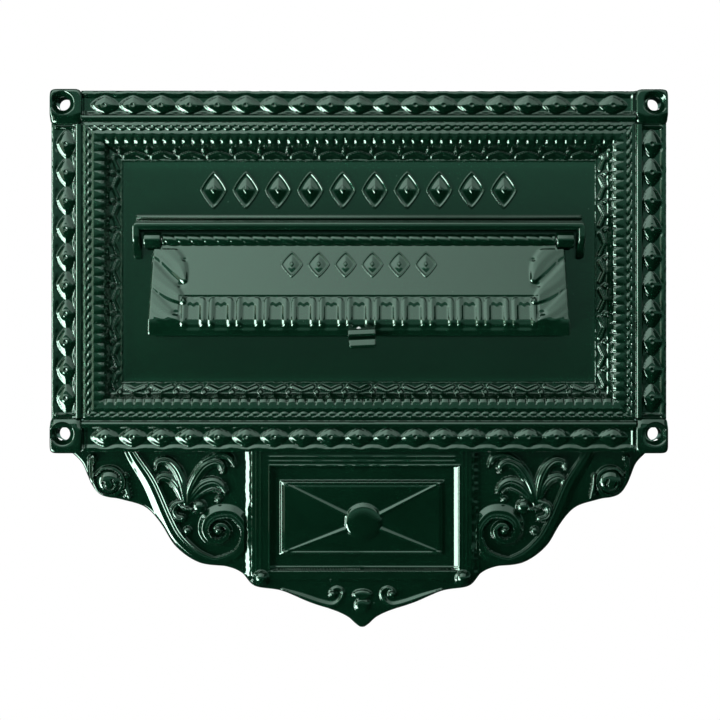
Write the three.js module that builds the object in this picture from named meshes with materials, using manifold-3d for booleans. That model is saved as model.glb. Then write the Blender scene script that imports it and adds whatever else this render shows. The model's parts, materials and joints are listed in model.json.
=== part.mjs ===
// Cast letter plate with a top-hung flap: millimetres, +Z up, +X right, front facing -Y.
// The back of the casting lies in the plane y = 0, so a height h above the wall is y = -h.
import * as THREE from 'three';
import { mergeVertices } from 'three/addons/utils/BufferGeometryUtils.js';
import Module from 'manifold-3d';

// ---- driving dimensions ----
const PLATE_WIDTH = 381;
const TOP_Z = 166.5;
const FRAME_BOTTOM_Z = -58;
const TIP_Z = -166.5;
const FIELD_HEIGHT = 6;
const CREST_HEIGHT = 6;
const SEAT = 0.5; // how deep a raised ornament is rooted in the face that it stands on

const BLOCK_WIDTH = 20;
const BLOCK_TALL = 22;
const BLOCK_HEIGHT = 15.5;
const BLOCK_PROUD = 0.8;
const HOLE_X = 182.5;
const HOLE_TOP_Z = 157.8;
const HOLE_BOTTOM_Z = -46;
const HOLE_RADIUS = 4.3;
const SINK_RADIUS = 7.2;
const SINK_DEPTH = 3.2;

const DIAMOND_PITCH = 17.4;
const DIAMOND_HALF_LONG = 8.1;
const DIAMOND_HALF_ACROSS = 5.2;
const DIAMOND_INSET = 10;
const DIAMOND_FLOOR = 12;
const DIAMOND_RISE = 3.2;
const DIAMONDS_PER_RAIL = 19;
const DIAMONDS_PER_STILE = 10;

const SLOT_WIDTH = 240;
const SLOT_BOTTOM_Z = 27;
const SLOT_TOP_Z = 58;

const HINGE_HEIGHT = 14;
const HINGE_Z = 73.2;
const ROLL_RADIUS = 3.8;
const ROLL_HALF = 121;
const ROD_RADIUS = 2;
const RUNNING_GAP = 0.3;
const BORE_RADIUS = ROD_RADIUS + RUNNING_GAP;
const LUG_RADIUS = 5;
const LUG_WIDTH = 11;
const LUG_INNER_X = ROLL_HALF + 0.4;
const LUG_END_WALL = 2.4;
const LUG_SCREW_RADIUS = 2;
const LUG_HEAD_RADIUS = 4;
const LUG_HEAD_DEPTH = 2.2;

const HOOD_TOP_Z = 84;
const HOOD_THICK = 4.6;
const HOOD_HALF = 139;
const HOOD_FRONT = 20;
const HOOD_RETURN = 5;
const HOOD_RETURN_BOTTOM_Z = 62;
const LEDGE_TOP_Z = 89.2;

const FLAP_TOP_HALF = 127;
const FLAP_BOTTOM_HALF = 129.2;
const FLAP_WALL = 3.2;
const FLAP_CHEEK = 4;
const FLAP_STANDOFF = FIELD_HEIGHT + 0.4;
const NOTCH_TOP_Z = 67.3;
const TONGUES = 13;
const TONGUE_PITCH = 16.75;
const TONGUE_HALF = 6.2;
const TONGUE_RISE = 1.2;

const PULL_WIDTH = 17;
const PULL_SCREW_Z = 18;
const PULL_SCREW_RADIUS = 1.5;
const PULL_BACK = 31.8;

const FIELD_ROW = { count: 10, pitch: 20, halfX: 8.6, halfZ: 12, z: 105, rise: 2.2 };
const FLAP_ROW = { count: 6, pitch: 16.4, halfX: 7, halfZ: 8.6, z: 57.5, rise: 1.6 };

const CREST_DRIFT = 2.1; // the middle of the crest sits a little right of the frame's centre
const CREST_HALF = 180;
const CREST_FRAME_TOP_Z = FRAME_BOTTOM_Z + 2;
const BAR_X = 70;
const KNOB_X = 62.7;
const KNOB_Z = -135.3;
const PANEL_Z = -99;

const ENAMEL = 0x0f3327;
const STEEL = 0x9a9c9b;

const HALF_WIDTH = PLATE_WIDTH / 2;
const LUG_MID_X = LUG_INNER_X + LUG_WIDTH / 2;
const LUG_TAP_TOP = HINGE_HEIGHT - BORE_RADIUS - 0.2;
const FRAME_TALL = TOP_Z - FRAME_BOTTOM_Z;
const FRAME_MID_Z = (TOP_Z + FRAME_BOTTOM_Z) / 2;

// ---- solids: booleans on closed three.js meshes ----
const wasm = await Module();
wasm.setup();

function solid(geometry) {
  const bare = geometry.clone();
  bare.deleteAttribute('normal');
  bare.deleteAttribute('uv');
  const merged = mergeVertices(bare, 1e-4);
  return new wasm.Manifold(new wasm.Mesh({
    numProp: 3,
    vertProperties: new Float32Array(merged.attributes.position.array),
    triVerts: new Uint32Array(merged.index.array),
  }));
}

function indexedSolid(points, faces) {
  const geometry = new THREE.BufferGeometry();
  geometry.setAttribute('position', new THREE.Float32BufferAttribute(points.flat(), 3));
  geometry.setIndex(faces);
  return solid(geometry);
}

function piece(name, body, color, metalness, roughness) {
  const mesh = body.getMesh();
  const geometry = new THREE.BufferGeometry();
  geometry.setAttribute('position', new THREE.BufferAttribute(mesh.vertProperties, 3));
  geometry.setIndex(new THREE.BufferAttribute(mesh.triVerts, 1));
  geometry.computeVertexNormals();
  const material = new THREE.MeshStandardMaterial({ color, metalness, roughness });
  const result = new THREE.Mesh(geometry, material);
  result.name = name;
  return result;
}

function joined(bodies) {
  return bodies.reduce((whole, body) => whole.add(body));
}

// A flat outline in x and z, raised from height low to height high above the wall.
function raised(shape, low, high, curveSegments = 8) {
  const settings = { depth: high - low, bevelEnabled: false, curveSegments };
  const geometry = new THREE.ExtrudeGeometry(shape, settings);
  geometry.rotateX(Math.PI / 2);
  geometry.translate(0, -low, 0);
  return solid(geometry);
}

// A cross-section given as [height, z] points, running along x from x0 to x1.
function alongX(section, x0, x1) {
  const shape = new THREE.Shape(section.map(([h, z]) => new THREE.Vector2(-h, z)));
  const geometry = new THREE.ExtrudeGeometry(shape, { depth: x1 - x0, bevelEnabled: false });
  const turn = new THREE.Matrix4().makeBasis(
    new THREE.Vector3(0, 1, 0), new THREE.Vector3(0, 0, 1), new THREE.Vector3(1, 0, 0));
  geometry.applyMatrix4(turn);
  geometry.translate(x0, 0, 0);
  return solid(geometry);
}

function rectangle(x0, x1, z0, z1) {
  const points = [[x0, z0], [x1, z0], [x1, z1], [x0, z1]];
  return new THREE.Shape(points.map(([x, z]) => new THREE.Vector2(x, z)));
}

function box(x0, x1, low, high, z0, z1) {
  return raised(rectangle(x0, x1, z0, z1), low, high);
}

function cylinderX(radius, x0, x1, sides = 24) {
  const geometry = new THREE.CylinderGeometry(radius, radius, x1 - x0, sides);
  geometry.rotateZ(Math.PI / 2);
  geometry.translate((x0 + x1) / 2, -HINGE_HEIGHT, HINGE_Z);
  return solid(geometry);
}

// A turned piece on an axis square to the wall, from [radius, height] points with rising height.
function turned(profile, x, z, sides = 24) {
  const points = profile.map(([r, h]) => new THREE.Vector2(r, h));
  const geometry = new THREE.LatheGeometry(points, sides);
  geometry.rotateX(Math.PI);
  geometry.translate(x, 0, z);
  return solid(geometry);
}

// A low pyramid on a lozenge with half sizes halfX and halfZ, from height low to its peak.
function lozenge(x, z, halfX, halfZ, low, peak) {
  const points = [
    [x + halfX, -low, z], [x, -low, z + halfZ], [x - halfX, -low, z], [x, -low, z - halfZ],
    [x, -peak, z],
  ];
  return indexedSolid(points, [0, 1, 4, 1, 2, 4, 2, 3, 4, 3, 0, 4, 0, 2, 1, 0, 3, 2]);
}

// ---- front plate: frame moulding ----
// Rail section as [inset from the outer edge, height above the wall], from the outer back edge
// over the front to the field, then back along the hollow behind the moulding.
const RAIL_SECTION = [
  [0, 0], [0, 12.4], [0.9, 13.4], [3.2, 13.4], [4, DIAMOND_FLOOR], [14, DIAMOND_FLOOR],
  [14.6, 13.8], [15.8, 15.6], [18, 15.6], [19.4, 13.4], [20, 14.4], [22.2, 14.4], [23, 12.8],
  [24.4, 12.8], [25.2, 14.4], [27.6, 14.8], [29.8, 13], [30.8, 9.8], [32.6, 7.6], [35.2, 7.2],
  [36.8, 8.8], [39.2, 8.4], [41.6, 6.6], [42.6, 5.6], [46, 5.6], [46, 0], [33, 0], [33, 3.2],
  [30, 5.6], [26, 9], [16, 9.6], [14, 8], [4.6, 8], [4.6, 0],
];

function frameRing() {
  const halfWidth = HALF_WIDTH - BLOCK_PROUD;
  const halfTall = FRAME_TALL / 2 - BLOCK_PROUD;
  const points = RAIL_SECTION.flatMap(([inset, height]) => (
    [[1, 1], [-1, 1], [-1, -1], [1, -1]].map(([sx, sz]) => (
      [sx * (halfWidth - inset), -height, FRAME_MID_Z + sz * (halfTall - inset)]))));
  const faces = [];
  const count = RAIL_SECTION.length;
  for (let i = 0; i < count; i += 1) {
    for (let c = 0; c < 4; c += 1) {
      const here = 4 * i + c;
      const beside = 4 * i + ((c + 1) % 4);
      const next = 4 * ((i + 1) % count) + c;
      const across = 4 * ((i + 1) % count) + ((c + 1) % 4);
      faces.push(here, beside, next, beside, across, next);
    }
  }
  return indexedSolid(points, faces);
}

function cornerBlocks() {
  const blocks = [];
  for (const side of [-1, 1]) {
    const x = [side * HALF_WIDTH, side * (HALF_WIDTH - BLOCK_WIDTH)].sort((a, b) => a - b);
    blocks.push(box(...x, 0, BLOCK_HEIGHT, TOP_Z - BLOCK_TALL, TOP_Z));
    blocks.push(box(...x, 0, BLOCK_HEIGHT, FRAME_BOTTOM_Z, FRAME_BOTTOM_Z + BLOCK_TALL));
  }
  return blocks;
}

function screwHoles() {
  const profile = [
    [0, -1], [HOLE_RADIUS, -1], [HOLE_RADIUS, BLOCK_HEIGHT - SINK_DEPTH],
    [SINK_RADIUS, BLOCK_HEIGHT], [SINK_RADIUS, BLOCK_HEIGHT + 1], [0, BLOCK_HEIGHT + 1],
  ];
  const holes = [];
  for (const x of [-HOLE_X, HOLE_X]) {
    holes.push(turned(profile, x, HOLE_TOP_Z), turned(profile, x, HOLE_BOTTOM_Z));
  }
  return holes;
}

function diamondBands() {
  const diamonds = [];
  const low = DIAMOND_FLOOR - SEAT;
  const peak = DIAMOND_FLOOR + DIAMOND_RISE;
  const long = DIAMOND_HALF_LONG;
  const across = DIAMOND_HALF_ACROSS;
  for (let i = 0; i < DIAMONDS_PER_RAIL; i += 1) {
    const x = (i - (DIAMONDS_PER_RAIL - 1) / 2) * DIAMOND_PITCH;
    for (const z of [TOP_Z - DIAMOND_INSET, FRAME_BOTTOM_Z + DIAMOND_INSET]) {
      diamonds.push(lozenge(x, z, long, across, low, peak));
    }
  }
  for (let i = 0; i < DIAMONDS_PER_STILE; i += 1) {
    const z = FRAME_MID_Z + (i - (DIAMONDS_PER_STILE - 1) / 2) * DIAMOND_PITCH;
    for (const x of [DIAMOND_INSET - HALF_WIDTH, HALF_WIDTH - DIAMOND_INSET]) {
      diamonds.push(lozenge(x, z, across, long, low, peak));
    }
  }
  return diamonds;
}

// ---- front plate: field, hood and ledge ----
function hood() {
  const low = FIELD_HEIGHT - SEAT;
  const under = HOOD_TOP_Z - HOOD_THICK;
  const bar = [
    [low, under], [HOOD_FRONT, under], [HOOD_FRONT, HOOD_TOP_Z - 2], [HOOD_FRONT - 2, HOOD_TOP_Z],
    [low, HOOD_TOP_Z],
  ];
  const ledge = [
    [low, HOOD_TOP_Z - 1], [10, HOOD_TOP_Z - 1], [9.4, 86.4], [8, 86.8],
    [8, LEDGE_TOP_Z - 0.6], [7.4, LEDGE_TOP_Z], [low, LEDGE_TOP_Z],
  ];
  const cheek = [
    [low, HOOD_RETURN_BOTTOM_Z], [9, HOOD_RETURN_BOTTOM_Z], [15, HOOD_RETURN_BOTTOM_Z + 4],
    [HOOD_FRONT, HOOD_RETURN_BOTTOM_Z + 11], [HOOD_FRONT, under + 1], [low, under + 1],
  ];
  return [
    alongX(bar, -HOOD_HALF, HOOD_HALF),
    alongX(ledge, 1.5 - HOOD_HALF, HOOD_HALF - 1.5),
    alongX(cheek, -HOOD_HALF, HOOD_RETURN - HOOD_HALF),
    alongX(cheek, HOOD_HALF - HOOD_RETURN, HOOD_HALF),
  ];
}

function lozengeRow(row, low, peak) {
  const bodies = [];
  for (let i = 0; i < row.count; i += 1) {
    const x = (i - (row.count - 1) / 2) * row.pitch;
    bodies.push(lozenge(x, row.z, row.halfX, row.halfZ, low, peak));
  }
  return bodies;
}

// ---- front plate: crest under the frame ----
// Right half of the crest's edge, from the frame down to the tip.
const CREST_EDGE = [
  [180, -57], [172.5, -64.5], [167.8, -75], [161, -84], [148, -87.4], [134, -92], [124.5, -102],
  [115, -116.6], [101, -126.3], [84, -129], [74.5, -133], [66.5, -141], [50, -144], [33, -151],
  [17, -156.4], [9, -159.5], [0, TIP_Z],
];

function drift(x) {
  return CREST_DRIFT * (1 - (x / CREST_HALF) ** 2);
}

function crestPlate() {
  const right = new THREE.SplineCurve(CREST_EDGE.map(([x, z]) => new THREE.Vector2(x, z)));
  const edge = right.getPoints(36);
  const mirrored = edge.slice(0, -1).reverse().map((p) => new THREE.Vector2(-p.x, p.y));
  const outline = [...edge, ...mirrored].map((p) => new THREE.Vector2(p.x + drift(p.x), p.y));
  const rootZ = FRAME_BOTTOM_Z + 6;
  outline.push(new THREE.Vector2(-CREST_HALF, rootZ), new THREE.Vector2(CREST_HALF, rootZ));
  return raised(new THREE.Shape(outline), 0, CREST_HEIGHT);
}

// A raised band along [x, z, half width] points on the right; side -1 puts it on the left.
function band(path, side, top) {
  const curve = new THREE.CatmullRomCurve3(path.map(([x, z, w]) => new THREE.Vector3(x, z, w)));
  const samples = curve.getPoints(2 * path.length);
  const edges = samples.map((p, i) => {
    const before = samples[Math.max(i - 1, 0)];
    const after = samples[Math.min(i + 1, samples.length - 1)];
    const length = Math.hypot(after.x - before.x, after.y - before.y);
    const nx = (-(after.y - before.y) / length) * p.z;
    const nz = ((after.x - before.x) / length) * p.z;
    return [[p.x + nx, p.y + nz], [p.x - nx, p.y - nz]];
  });
  const outline = [...edges.map((pair) => pair[0]), ...edges.map((pair) => pair[1]).reverse()];
  const points = outline.map(([x, z]) => new THREE.Vector2(side * x + drift(x), z));
  return raised(new THREE.Shape(points), CREST_HEIGHT - SEAT, top);
}

const BIG_SCROLL = [
  [142, -62, 1.5], [137, -76, 3], [128, -92, 4], [118, -106, 4.2], [107, -117, 4],
  [93, -122, 3.6], [79, -118, 3.4], [71.5, -107, 3.2], [75, -96, 3], [86, -92, 2.8],
  [97, -97, 2.6], [99, -108, 2.4], [91, -113.5, 2.2], [84.5, -107, 2.2],
];
const SMALL_SCROLL = [
  [168, -62, 1.5], [165, -72, 2.2], [159, -80, 2.2], [149, -81, 2], [145.5, -73, 2],
  [152, -66.5, 2], [158.5, -71.5, 1.8],
];
const LEAVES = [
  [[112, -94, 1.2], [119, -82, 3.6], [125, -72, 3], [128, -64, 1]],
  [[109, -94, 1.2], [107, -82, 3.4], [103, -72, 3], [99, -64, 1]],
  [[106, -94, 1.2], [97, -86, 3.2], [90, -79, 2.6], [84, -75, 1]],
];
const RIB = [[50, 23, 0.9], [29, 13, 0.9], [8, 3, 0.9]];

function crestRelief() {
  const low = CREST_HEIGHT - SEAT;
  const bodies = [];
  for (const side of [-1, 1]) {
    bodies.push(band(BIG_SCROLL, side, CREST_HEIGHT + 5), band(SMALL_SCROLL, side, CREST_HEIGHT + 4));
    for (const leaf of LEAVES) {
      bodies.push(band(leaf, side, CREST_HEIGHT + 3));
    }
    const barX = side * BAR_X + CREST_DRIFT;
    bodies.push(box(barX - 3, barX + 3, low, 12, KNOB_Z, CREST_FRAME_TOP_Z));
    const knob = [[0, low], [5.4, low], [5.4, 9], [3.6, 12.4], [0, 13.4]];
    bodies.push(turned(knob, side * KNOB_X + CREST_DRIFT, KNOB_Z, 16));
    for (const end of [-1, 1]) {
      const rib = RIB.map(([x, z, w]) => [side * x, PANEL_Z + end * z, w]);
      bodies.push(band(rib, 1, CREST_HEIGHT + 2.6));
    }
  }
  const border = rectangle(-66, 66, -138, CREST_FRAME_TOP_Z);
  border.holes.push(rectangle(-56, 56, -129.3, -68.3));
  bodies.push(raised(border, low, 9).translate([CREST_DRIFT, 0, 0]));
  bodies.push(box(CREST_DRIFT - 51.2, CREST_DRIFT + 51.2, low, CREST_HEIGHT + 1.4, -123, -74.6));
  const boss = [[0, low], [11.2, low], [11.2, 9], [8.4, 11.4], [5, 11.4], [4.2, 13.4], [0, 14]];
  bodies.push(turned(boss, CREST_DRIFT, PANEL_Z - 1));
  const drop = [[0, low], [5, low], [4.4, 10], [0, 12]];
  bodies.push(turned(drop, CREST_DRIFT, -150.5, 16));
  return bodies;
}

// Countersunk from the back, through the field and into the lug's foot.
const LUG_SCREW_HOLE = [
  [0, -1], [LUG_HEAD_RADIUS + RUNNING_GAP, -1], [LUG_HEAD_RADIUS + RUNNING_GAP, RUNNING_GAP],
  [LUG_SCREW_RADIUS + RUNNING_GAP, LUG_HEAD_DEPTH + RUNNING_GAP],
  [LUG_SCREW_RADIUS + RUNNING_GAP, LUG_TAP_TOP], [0, LUG_TAP_TOP],
];

function frontPlate() {
  const field = box(-152, 152, 0, FIELD_HEIGHT, -20, 128.5);
  const plate = joined([
    frameRing(), field, crestPlate(), ...cornerBlocks(), ...diamondBands(), ...hood(),
    ...lozengeRow(FIELD_ROW, FIELD_HEIGHT - SEAT, FIELD_HEIGHT + FIELD_ROW.rise),
    ...crestRelief(),
  ]);
  const slot = box(-SLOT_WIDTH / 2, SLOT_WIDTH / 2, -1, FIELD_HEIGHT + 1, SLOT_BOTTOM_Z, SLOT_TOP_Z);
  const lugHoles = [-1, 1].map((side) => turned(LUG_SCREW_HOLE, side * LUG_MID_X, HINGE_Z));
  return plate.subtract(joined([slot, ...screwHoles(), ...lugHoles]));
}

// ---- hinge: rod in two screwed-on lugs ----
function hingeRod() {
  const end = LUG_INNER_X + LUG_WIDTH - LUG_END_WALL - RUNNING_GAP;
  return cylinderX(ROD_RADIUS, -end, end);
}

function hingeLug(side) {
  const span = [side * LUG_INNER_X, side * (LUG_INNER_X + LUG_WIDTH)].sort((a, b) => a - b);
  const foot = [
    [FIELD_HEIGHT, HINGE_Z - 4.4], [HINGE_HEIGHT, HINGE_Z - 4.4],
    [HINGE_HEIGHT, HINGE_Z + 4.4], [FIELD_HEIGHT, HINGE_Z + 4.4],
  ];
  const blindEnd = side * (LUG_INNER_X + LUG_WIDTH - LUG_END_WALL);
  const bore = [side * (LUG_INNER_X - 1), blindEnd].sort((a, b) => a - b);
  return cylinderX(LUG_RADIUS, ...span)
    .add(alongX(foot, span[0] + 0.6, span[1] - 0.6))
    .subtract(cylinderX(BORE_RADIUS, ...bore))
    .subtract(turned(LUG_SCREW_HOLE, side * LUG_MID_X, HINGE_Z));
}

function lugScrew(side) {
  const x = side * LUG_MID_X;
  const profile = [
    [0, 0.1], [LUG_HEAD_RADIUS, 0.1], [LUG_HEAD_RADIUS, 0.4],
    [LUG_SCREW_RADIUS, LUG_HEAD_DEPTH + 0.4], [LUG_SCREW_RADIUS, LUG_TAP_TOP - 0.4],
    [0, LUG_TAP_TOP - 0.4],
  ];
  const driverSlot = box(x - 5, x + 5, -1, 1.1, HINGE_Z - 0.5, HINGE_Z + 0.5);
  return turned(profile, x, HINGE_Z).subtract(driverSlot);
}

// ---- flap ----
// Outer face of the flap as [height, z], from under the roll down to the lip at the bottom.
const FLAP_FACE = [
  [HINGE_HEIGHT + 1.2, HINGE_Z - 2.4], [17.2, 67], [25.2, 39], [28.9, 26], [31, 21.6],
  [31.4, 18], [30.6, 15.4], [29.4, 14.4],
];

// The hollow behind the face: the same curve, one wall thickness further in.
function innerFace() {
  return FLAP_FACE.map(([h, z], i) => {
    const before = FLAP_FACE[Math.max(i - 1, 0)];
    const after = FLAP_FACE[Math.min(i + 1, FLAP_FACE.length - 1)];
    const length = Math.hypot(after[0] - before[0], after[1] - before[1]);
    const inward = [(after[1] - before[1]) / length, -(after[0] - before[0]) / length];
    return [h + inward[0] * FLAP_WALL, z + inward[1] * FLAP_WALL];
  });
}

function flapShell() {
  const wall = [...FLAP_FACE, ...innerFace().reverse()];
  const cheek = [
    ...FLAP_FACE.slice(1), [22, 14.4], [FLAP_STANDOFF, 17], [FLAP_STANDOFF, 60],
    [HINGE_HEIGHT - 3, NOTCH_TOP_Z - 1.4],
  ];
  const half = FLAP_BOTTOM_HALF;
  return joined([
    alongX(wall, -half, half),
    alongX(cheek, -half, FLAP_CHEEK - half),
    alongX(cheek, half - FLAP_CHEEK, half),
  ]);
}

// Keeps the flap's outline: narrower at the top, with its upper corners cut away under the lugs.
function flapOutline() {
  const points = [
    [-FLAP_BOTTOM_HALF, 10], [FLAP_BOTTOM_HALF, 10], [FLAP_BOTTOM_HALF, 15],
    [FLAP_TOP_HALF, NOTCH_TOP_Z - 1.2], [FLAP_TOP_HALF - 1.2, NOTCH_TOP_Z],
    [ROLL_HALF, NOTCH_TOP_Z], [ROLL_HALF, 80], [-ROLL_HALF, 80], [-ROLL_HALF, NOTCH_TOP_Z],
    [1.2 - FLAP_TOP_HALF, NOTCH_TOP_Z], [-FLAP_TOP_HALF, NOTCH_TOP_Z - 1.2],
    [-FLAP_BOTTOM_HALF, 15],
  ];
  const shape = new THREE.Shape(points.map(([x, z]) => new THREE.Vector2(x, z)));
  return raised(shape, 0, 40);
}

// Places a body modelled flat on the field so that it lies on the tilted face of the flap.
const FACE_TILT = Math.atan2(FLAP_FACE[2][0] - FLAP_FACE[1][0], FLAP_FACE[1][1] - FLAP_FACE[2][1]);

function onFace(body) {
  const [h, z] = FLAP_FACE[1];
  const degrees = THREE.MathUtils.radToDeg(FACE_TILT);
  return body.translate([0, 0, -z]).rotate([-degrees, 0, 0]).translate([0, -h, z]);
}

// One tongue of the fluted band, with a notch in its upper edge.
const TONGUE = [
  [-TONGUE_HALF, 26], [TONGUE_HALF, 26], [TONGUE_HALF, 36.2], [TONGUE_HALF - 2, 38.3],
  [0, 36], [2 - TONGUE_HALF, 38.3], [-TONGUE_HALF, 36.2],
];

function tongues() {
  const bodies = [];
  for (let i = 0; i < TONGUES; i += 1) {
    const x = (i - (TONGUES - 1) / 2) * TONGUE_PITCH;
    const outline = TONGUE.map(([dx, z]) => new THREE.Vector2(x + dx, z));
    const shape = new THREE.Shape(outline);
    bodies.push(onFace(raised(shape, -SEAT, TONGUE_RISE)));
  }
  return bodies;
}

function flap() {
  const roll = cylinderX(ROLL_RADIUS, -ROLL_HALF, ROLL_HALF);
  const row = lozengeRow(FLAP_ROW, -SEAT, FLAP_ROW.rise).map(onFace);
  const body = joined([flapShell().intersect(flapOutline()), roll, ...tongues(), ...row]);
  const rodBore = cylinderX(BORE_RADIUS, -ROLL_HALF - 1, ROLL_HALF + 1);
  const screwHole = turned([[0, 20], [PULL_SCREW_RADIUS + RUNNING_GAP, 20],
    [PULL_SCREW_RADIUS + RUNNING_GAP, 35], [0, 35]], 0, PULL_SCREW_Z, 16);
  return body.subtract(joined([rodBore, screwHole]));
}

// ---- finger pull and its screw ----
const PULL_SECTION = [
  [PULL_BACK, 7.2], [36.8, 7.2], [37.6, 8], [37.6, 9.8], [34.2, 12.4], [33.4, 13.2],
  [34.4, 14], [35.6, 15], [35.6, 16.6], [34, 18.4], [PULL_BACK, 18.8],
];

function fingerPull() {
  const half = PULL_WIDTH / 2;
  const tapped = turned([[0, PULL_BACK - 1], [PULL_SCREW_RADIUS + RUNNING_GAP, PULL_BACK - 1],
    [PULL_SCREW_RADIUS + RUNNING_GAP, 34.3], [0, 34.3]], 0, PULL_SCREW_Z, 16);
  return alongX(PULL_SECTION, -half, half).subtract(tapped);
}

function pullScrew() {
  const profile = [
    [0, 24.8], [2.4, 24.8], [2.9, 25.4], [2.9, 27], [PULL_SCREW_RADIUS, 27],
    [PULL_SCREW_RADIUS, 34], [0, 34],
  ];
  const driverSlot = box(-4, 4, 24, 25.6, PULL_SCREW_Z - 0.4, PULL_SCREW_Z + 0.4);
  return turned(profile, 0, PULL_SCREW_Z, 16).subtract(driverSlot);
}

// ---- assembly ----
const letterPlate = new THREE.Group();
letterPlate.add(
  piece('front_plate', frontPlate(), ENAMEL, 0.1, 0.25),
  piece('hinge_rod', hingeRod(), STEEL, 0.9, 0.35),
  piece('hinge_lug_left', hingeLug(-1), ENAMEL, 0.1, 0.25),
  piece('hinge_lug_right', hingeLug(1), ENAMEL, 0.1, 0.25),
  piece('lug_screw_left', lugScrew(-1), STEEL, 0.9, 0.35),
  piece('lug_screw_right', lugScrew(1), STEEL, 0.9, 0.35),
  piece('flap', flap(), ENAMEL, 0.1, 0.25),
  piece('finger_pull', fingerPull(), ENAMEL, 0.1, 0.25),
  piece('pull_screw', pullScrew(), STEEL, 0.9, 0.35),
);

export default letterPlate;
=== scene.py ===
"""Cast letter plate with a top-hung flap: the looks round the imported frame.

Lengths are in millimetres until a mesh is made. A point is (x, h, z): x to the right, z up and
h the height above the wall, so that the front of the casting faces -Y.
"""

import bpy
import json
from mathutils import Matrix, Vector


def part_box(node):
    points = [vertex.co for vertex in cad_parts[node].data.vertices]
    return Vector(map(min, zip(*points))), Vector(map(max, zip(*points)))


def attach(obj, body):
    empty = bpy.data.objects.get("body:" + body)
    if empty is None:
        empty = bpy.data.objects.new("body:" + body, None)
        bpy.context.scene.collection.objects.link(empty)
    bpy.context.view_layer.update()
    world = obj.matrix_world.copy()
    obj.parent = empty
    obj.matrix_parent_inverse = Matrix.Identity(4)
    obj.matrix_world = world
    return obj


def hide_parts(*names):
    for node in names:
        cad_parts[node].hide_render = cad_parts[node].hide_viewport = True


bl_info = {
    "name": "Cast Letter Plate",
    "version": (1, 0, 0),
    "blender": (4, 5, 0),
    "location": "View3D > Sidebar > Letter Plate",
    "description": "Builds the enamelled front plate, flap, hinge and finger pull",
    "category": "Add Mesh",
}

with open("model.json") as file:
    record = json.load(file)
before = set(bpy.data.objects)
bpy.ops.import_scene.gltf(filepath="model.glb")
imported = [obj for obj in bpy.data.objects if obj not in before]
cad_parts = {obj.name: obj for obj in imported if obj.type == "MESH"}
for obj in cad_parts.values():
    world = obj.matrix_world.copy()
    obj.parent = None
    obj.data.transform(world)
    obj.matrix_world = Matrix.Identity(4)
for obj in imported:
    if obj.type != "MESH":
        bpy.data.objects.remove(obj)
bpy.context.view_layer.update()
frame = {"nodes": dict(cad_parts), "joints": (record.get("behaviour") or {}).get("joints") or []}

import json
import math

import bmesh
import bpy
import numpy as np
from bpy.props import FloatProperty, FloatVectorProperty, PointerProperty
from bpy.types import Operator, Panel, PropertyGroup
from mathutils import Vector

MM = 0.001

# ---- sizes taken from the frame ----
PLATE_LOW, PLATE_HIGH = (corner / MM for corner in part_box("front_plate"))
LUG_LOW, LUG_HIGH = (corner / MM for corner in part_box("hinge_lug_right"))
PULL_LOW, PULL_HIGH = (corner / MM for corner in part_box("finger_pull"))
HINGE = Vector(frame["joints"][0]["pos_m"]) / MM
HALF_WIDTH = PLATE_HIGH.x
TOP_Z = PLATE_HIGH.z
TIP_Z = PLATE_LOW.z
HINGE_HEIGHT = -HINGE.y
HINGE_Z = HINGE.z

# ---- frame moulding ----
FRAME_BOTTOM_Z = -58.0
FRAME_MID_Z = (TOP_Z + FRAME_BOTTOM_Z) / 2
BLOCK_PROUD = 0.8
RAIL_HALF = HALF_WIDTH - BLOCK_PROUD
STILE_HALF = (TOP_Z - FRAME_BOTTOM_Z) / 2 - BLOCK_PROUD
RAIL_WIDE = 43.4
RAIL_STEP = 0.55
RAIL_STEP_ACROSS = 0.5
# Front of a rail as (inset from its outer edge, height), from the outer edge to the field.
RAIL_PROFILE = [
    (0, 12.0), (0.35, 12.9), (1.0, 13.3), (1.8, 13.4), (4.0, 12.3), (13.2, 12.3), (15.6, 13.4),
    (18.7, 13.5), (19.4, 13.6), (21.6, 14.55), (22.0, 13.8), (23.1, 13.7), (24.4, 13.6),
    (26.6, 14.5), (31.0, 14.2), (33.0, 13.1), (35.2, 8.4), (36.2, 7.6), (42.0, 6.5),
    (42.3, 7.0), (43.0, 6.9), (43.4, 5.6),
]
# The hollow back, from the field back to the outer edge.
RAIL_BACK = [
    (43.4, 0), (33, 0), (33, 3.2), (30, 5.6), (26, 9), (16, 9.6), (14, 8), (4.6, 8), (4.6, 0),
    (0, 0),
]
BLOCK_LAP = 1.0
DIAMOND_PITCH = 17.4
DIAMOND_INSET = 9.2
DIAMOND_FLOOR = 12.2
DIAMOND_BAND = (2.9, 15.4)
DIAMOND_HALF_LONG = 9.0
DIAMOND_HALF_ACROSS = 6.5
DIAMONDS_PER_RAIL = 19
DIAMONDS_PER_STILE = 10
TORUS_INSET = 17.0
TORUS_HALF = 2.1
TORUS_FOOT = 13.4
BEAD_PITCH = 5.9
BEAD_ROWS = [(22.1, 0.25), (23.6, 0.75)]
BEAD_HALF = 1.15
BEAD_FOOT = 13.6
BEAD_RISE = 0.95
LEAF_OUTER = 36.2
LEAF_INNER = 42.0
BLOCK_WIDE = 20.0
BLOCK_TALL = 22.0
BLOCK_HEIGHT = 15.5
HOLE_X = 182.5
HOLE_TOP_Z = 157.8
HOLE_BOTTOM_Z = -46.0
HOLE_RADIUS = 4.3
SINK_RADIUS = 7.2
SINK_DEPTH = 3.2

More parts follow.
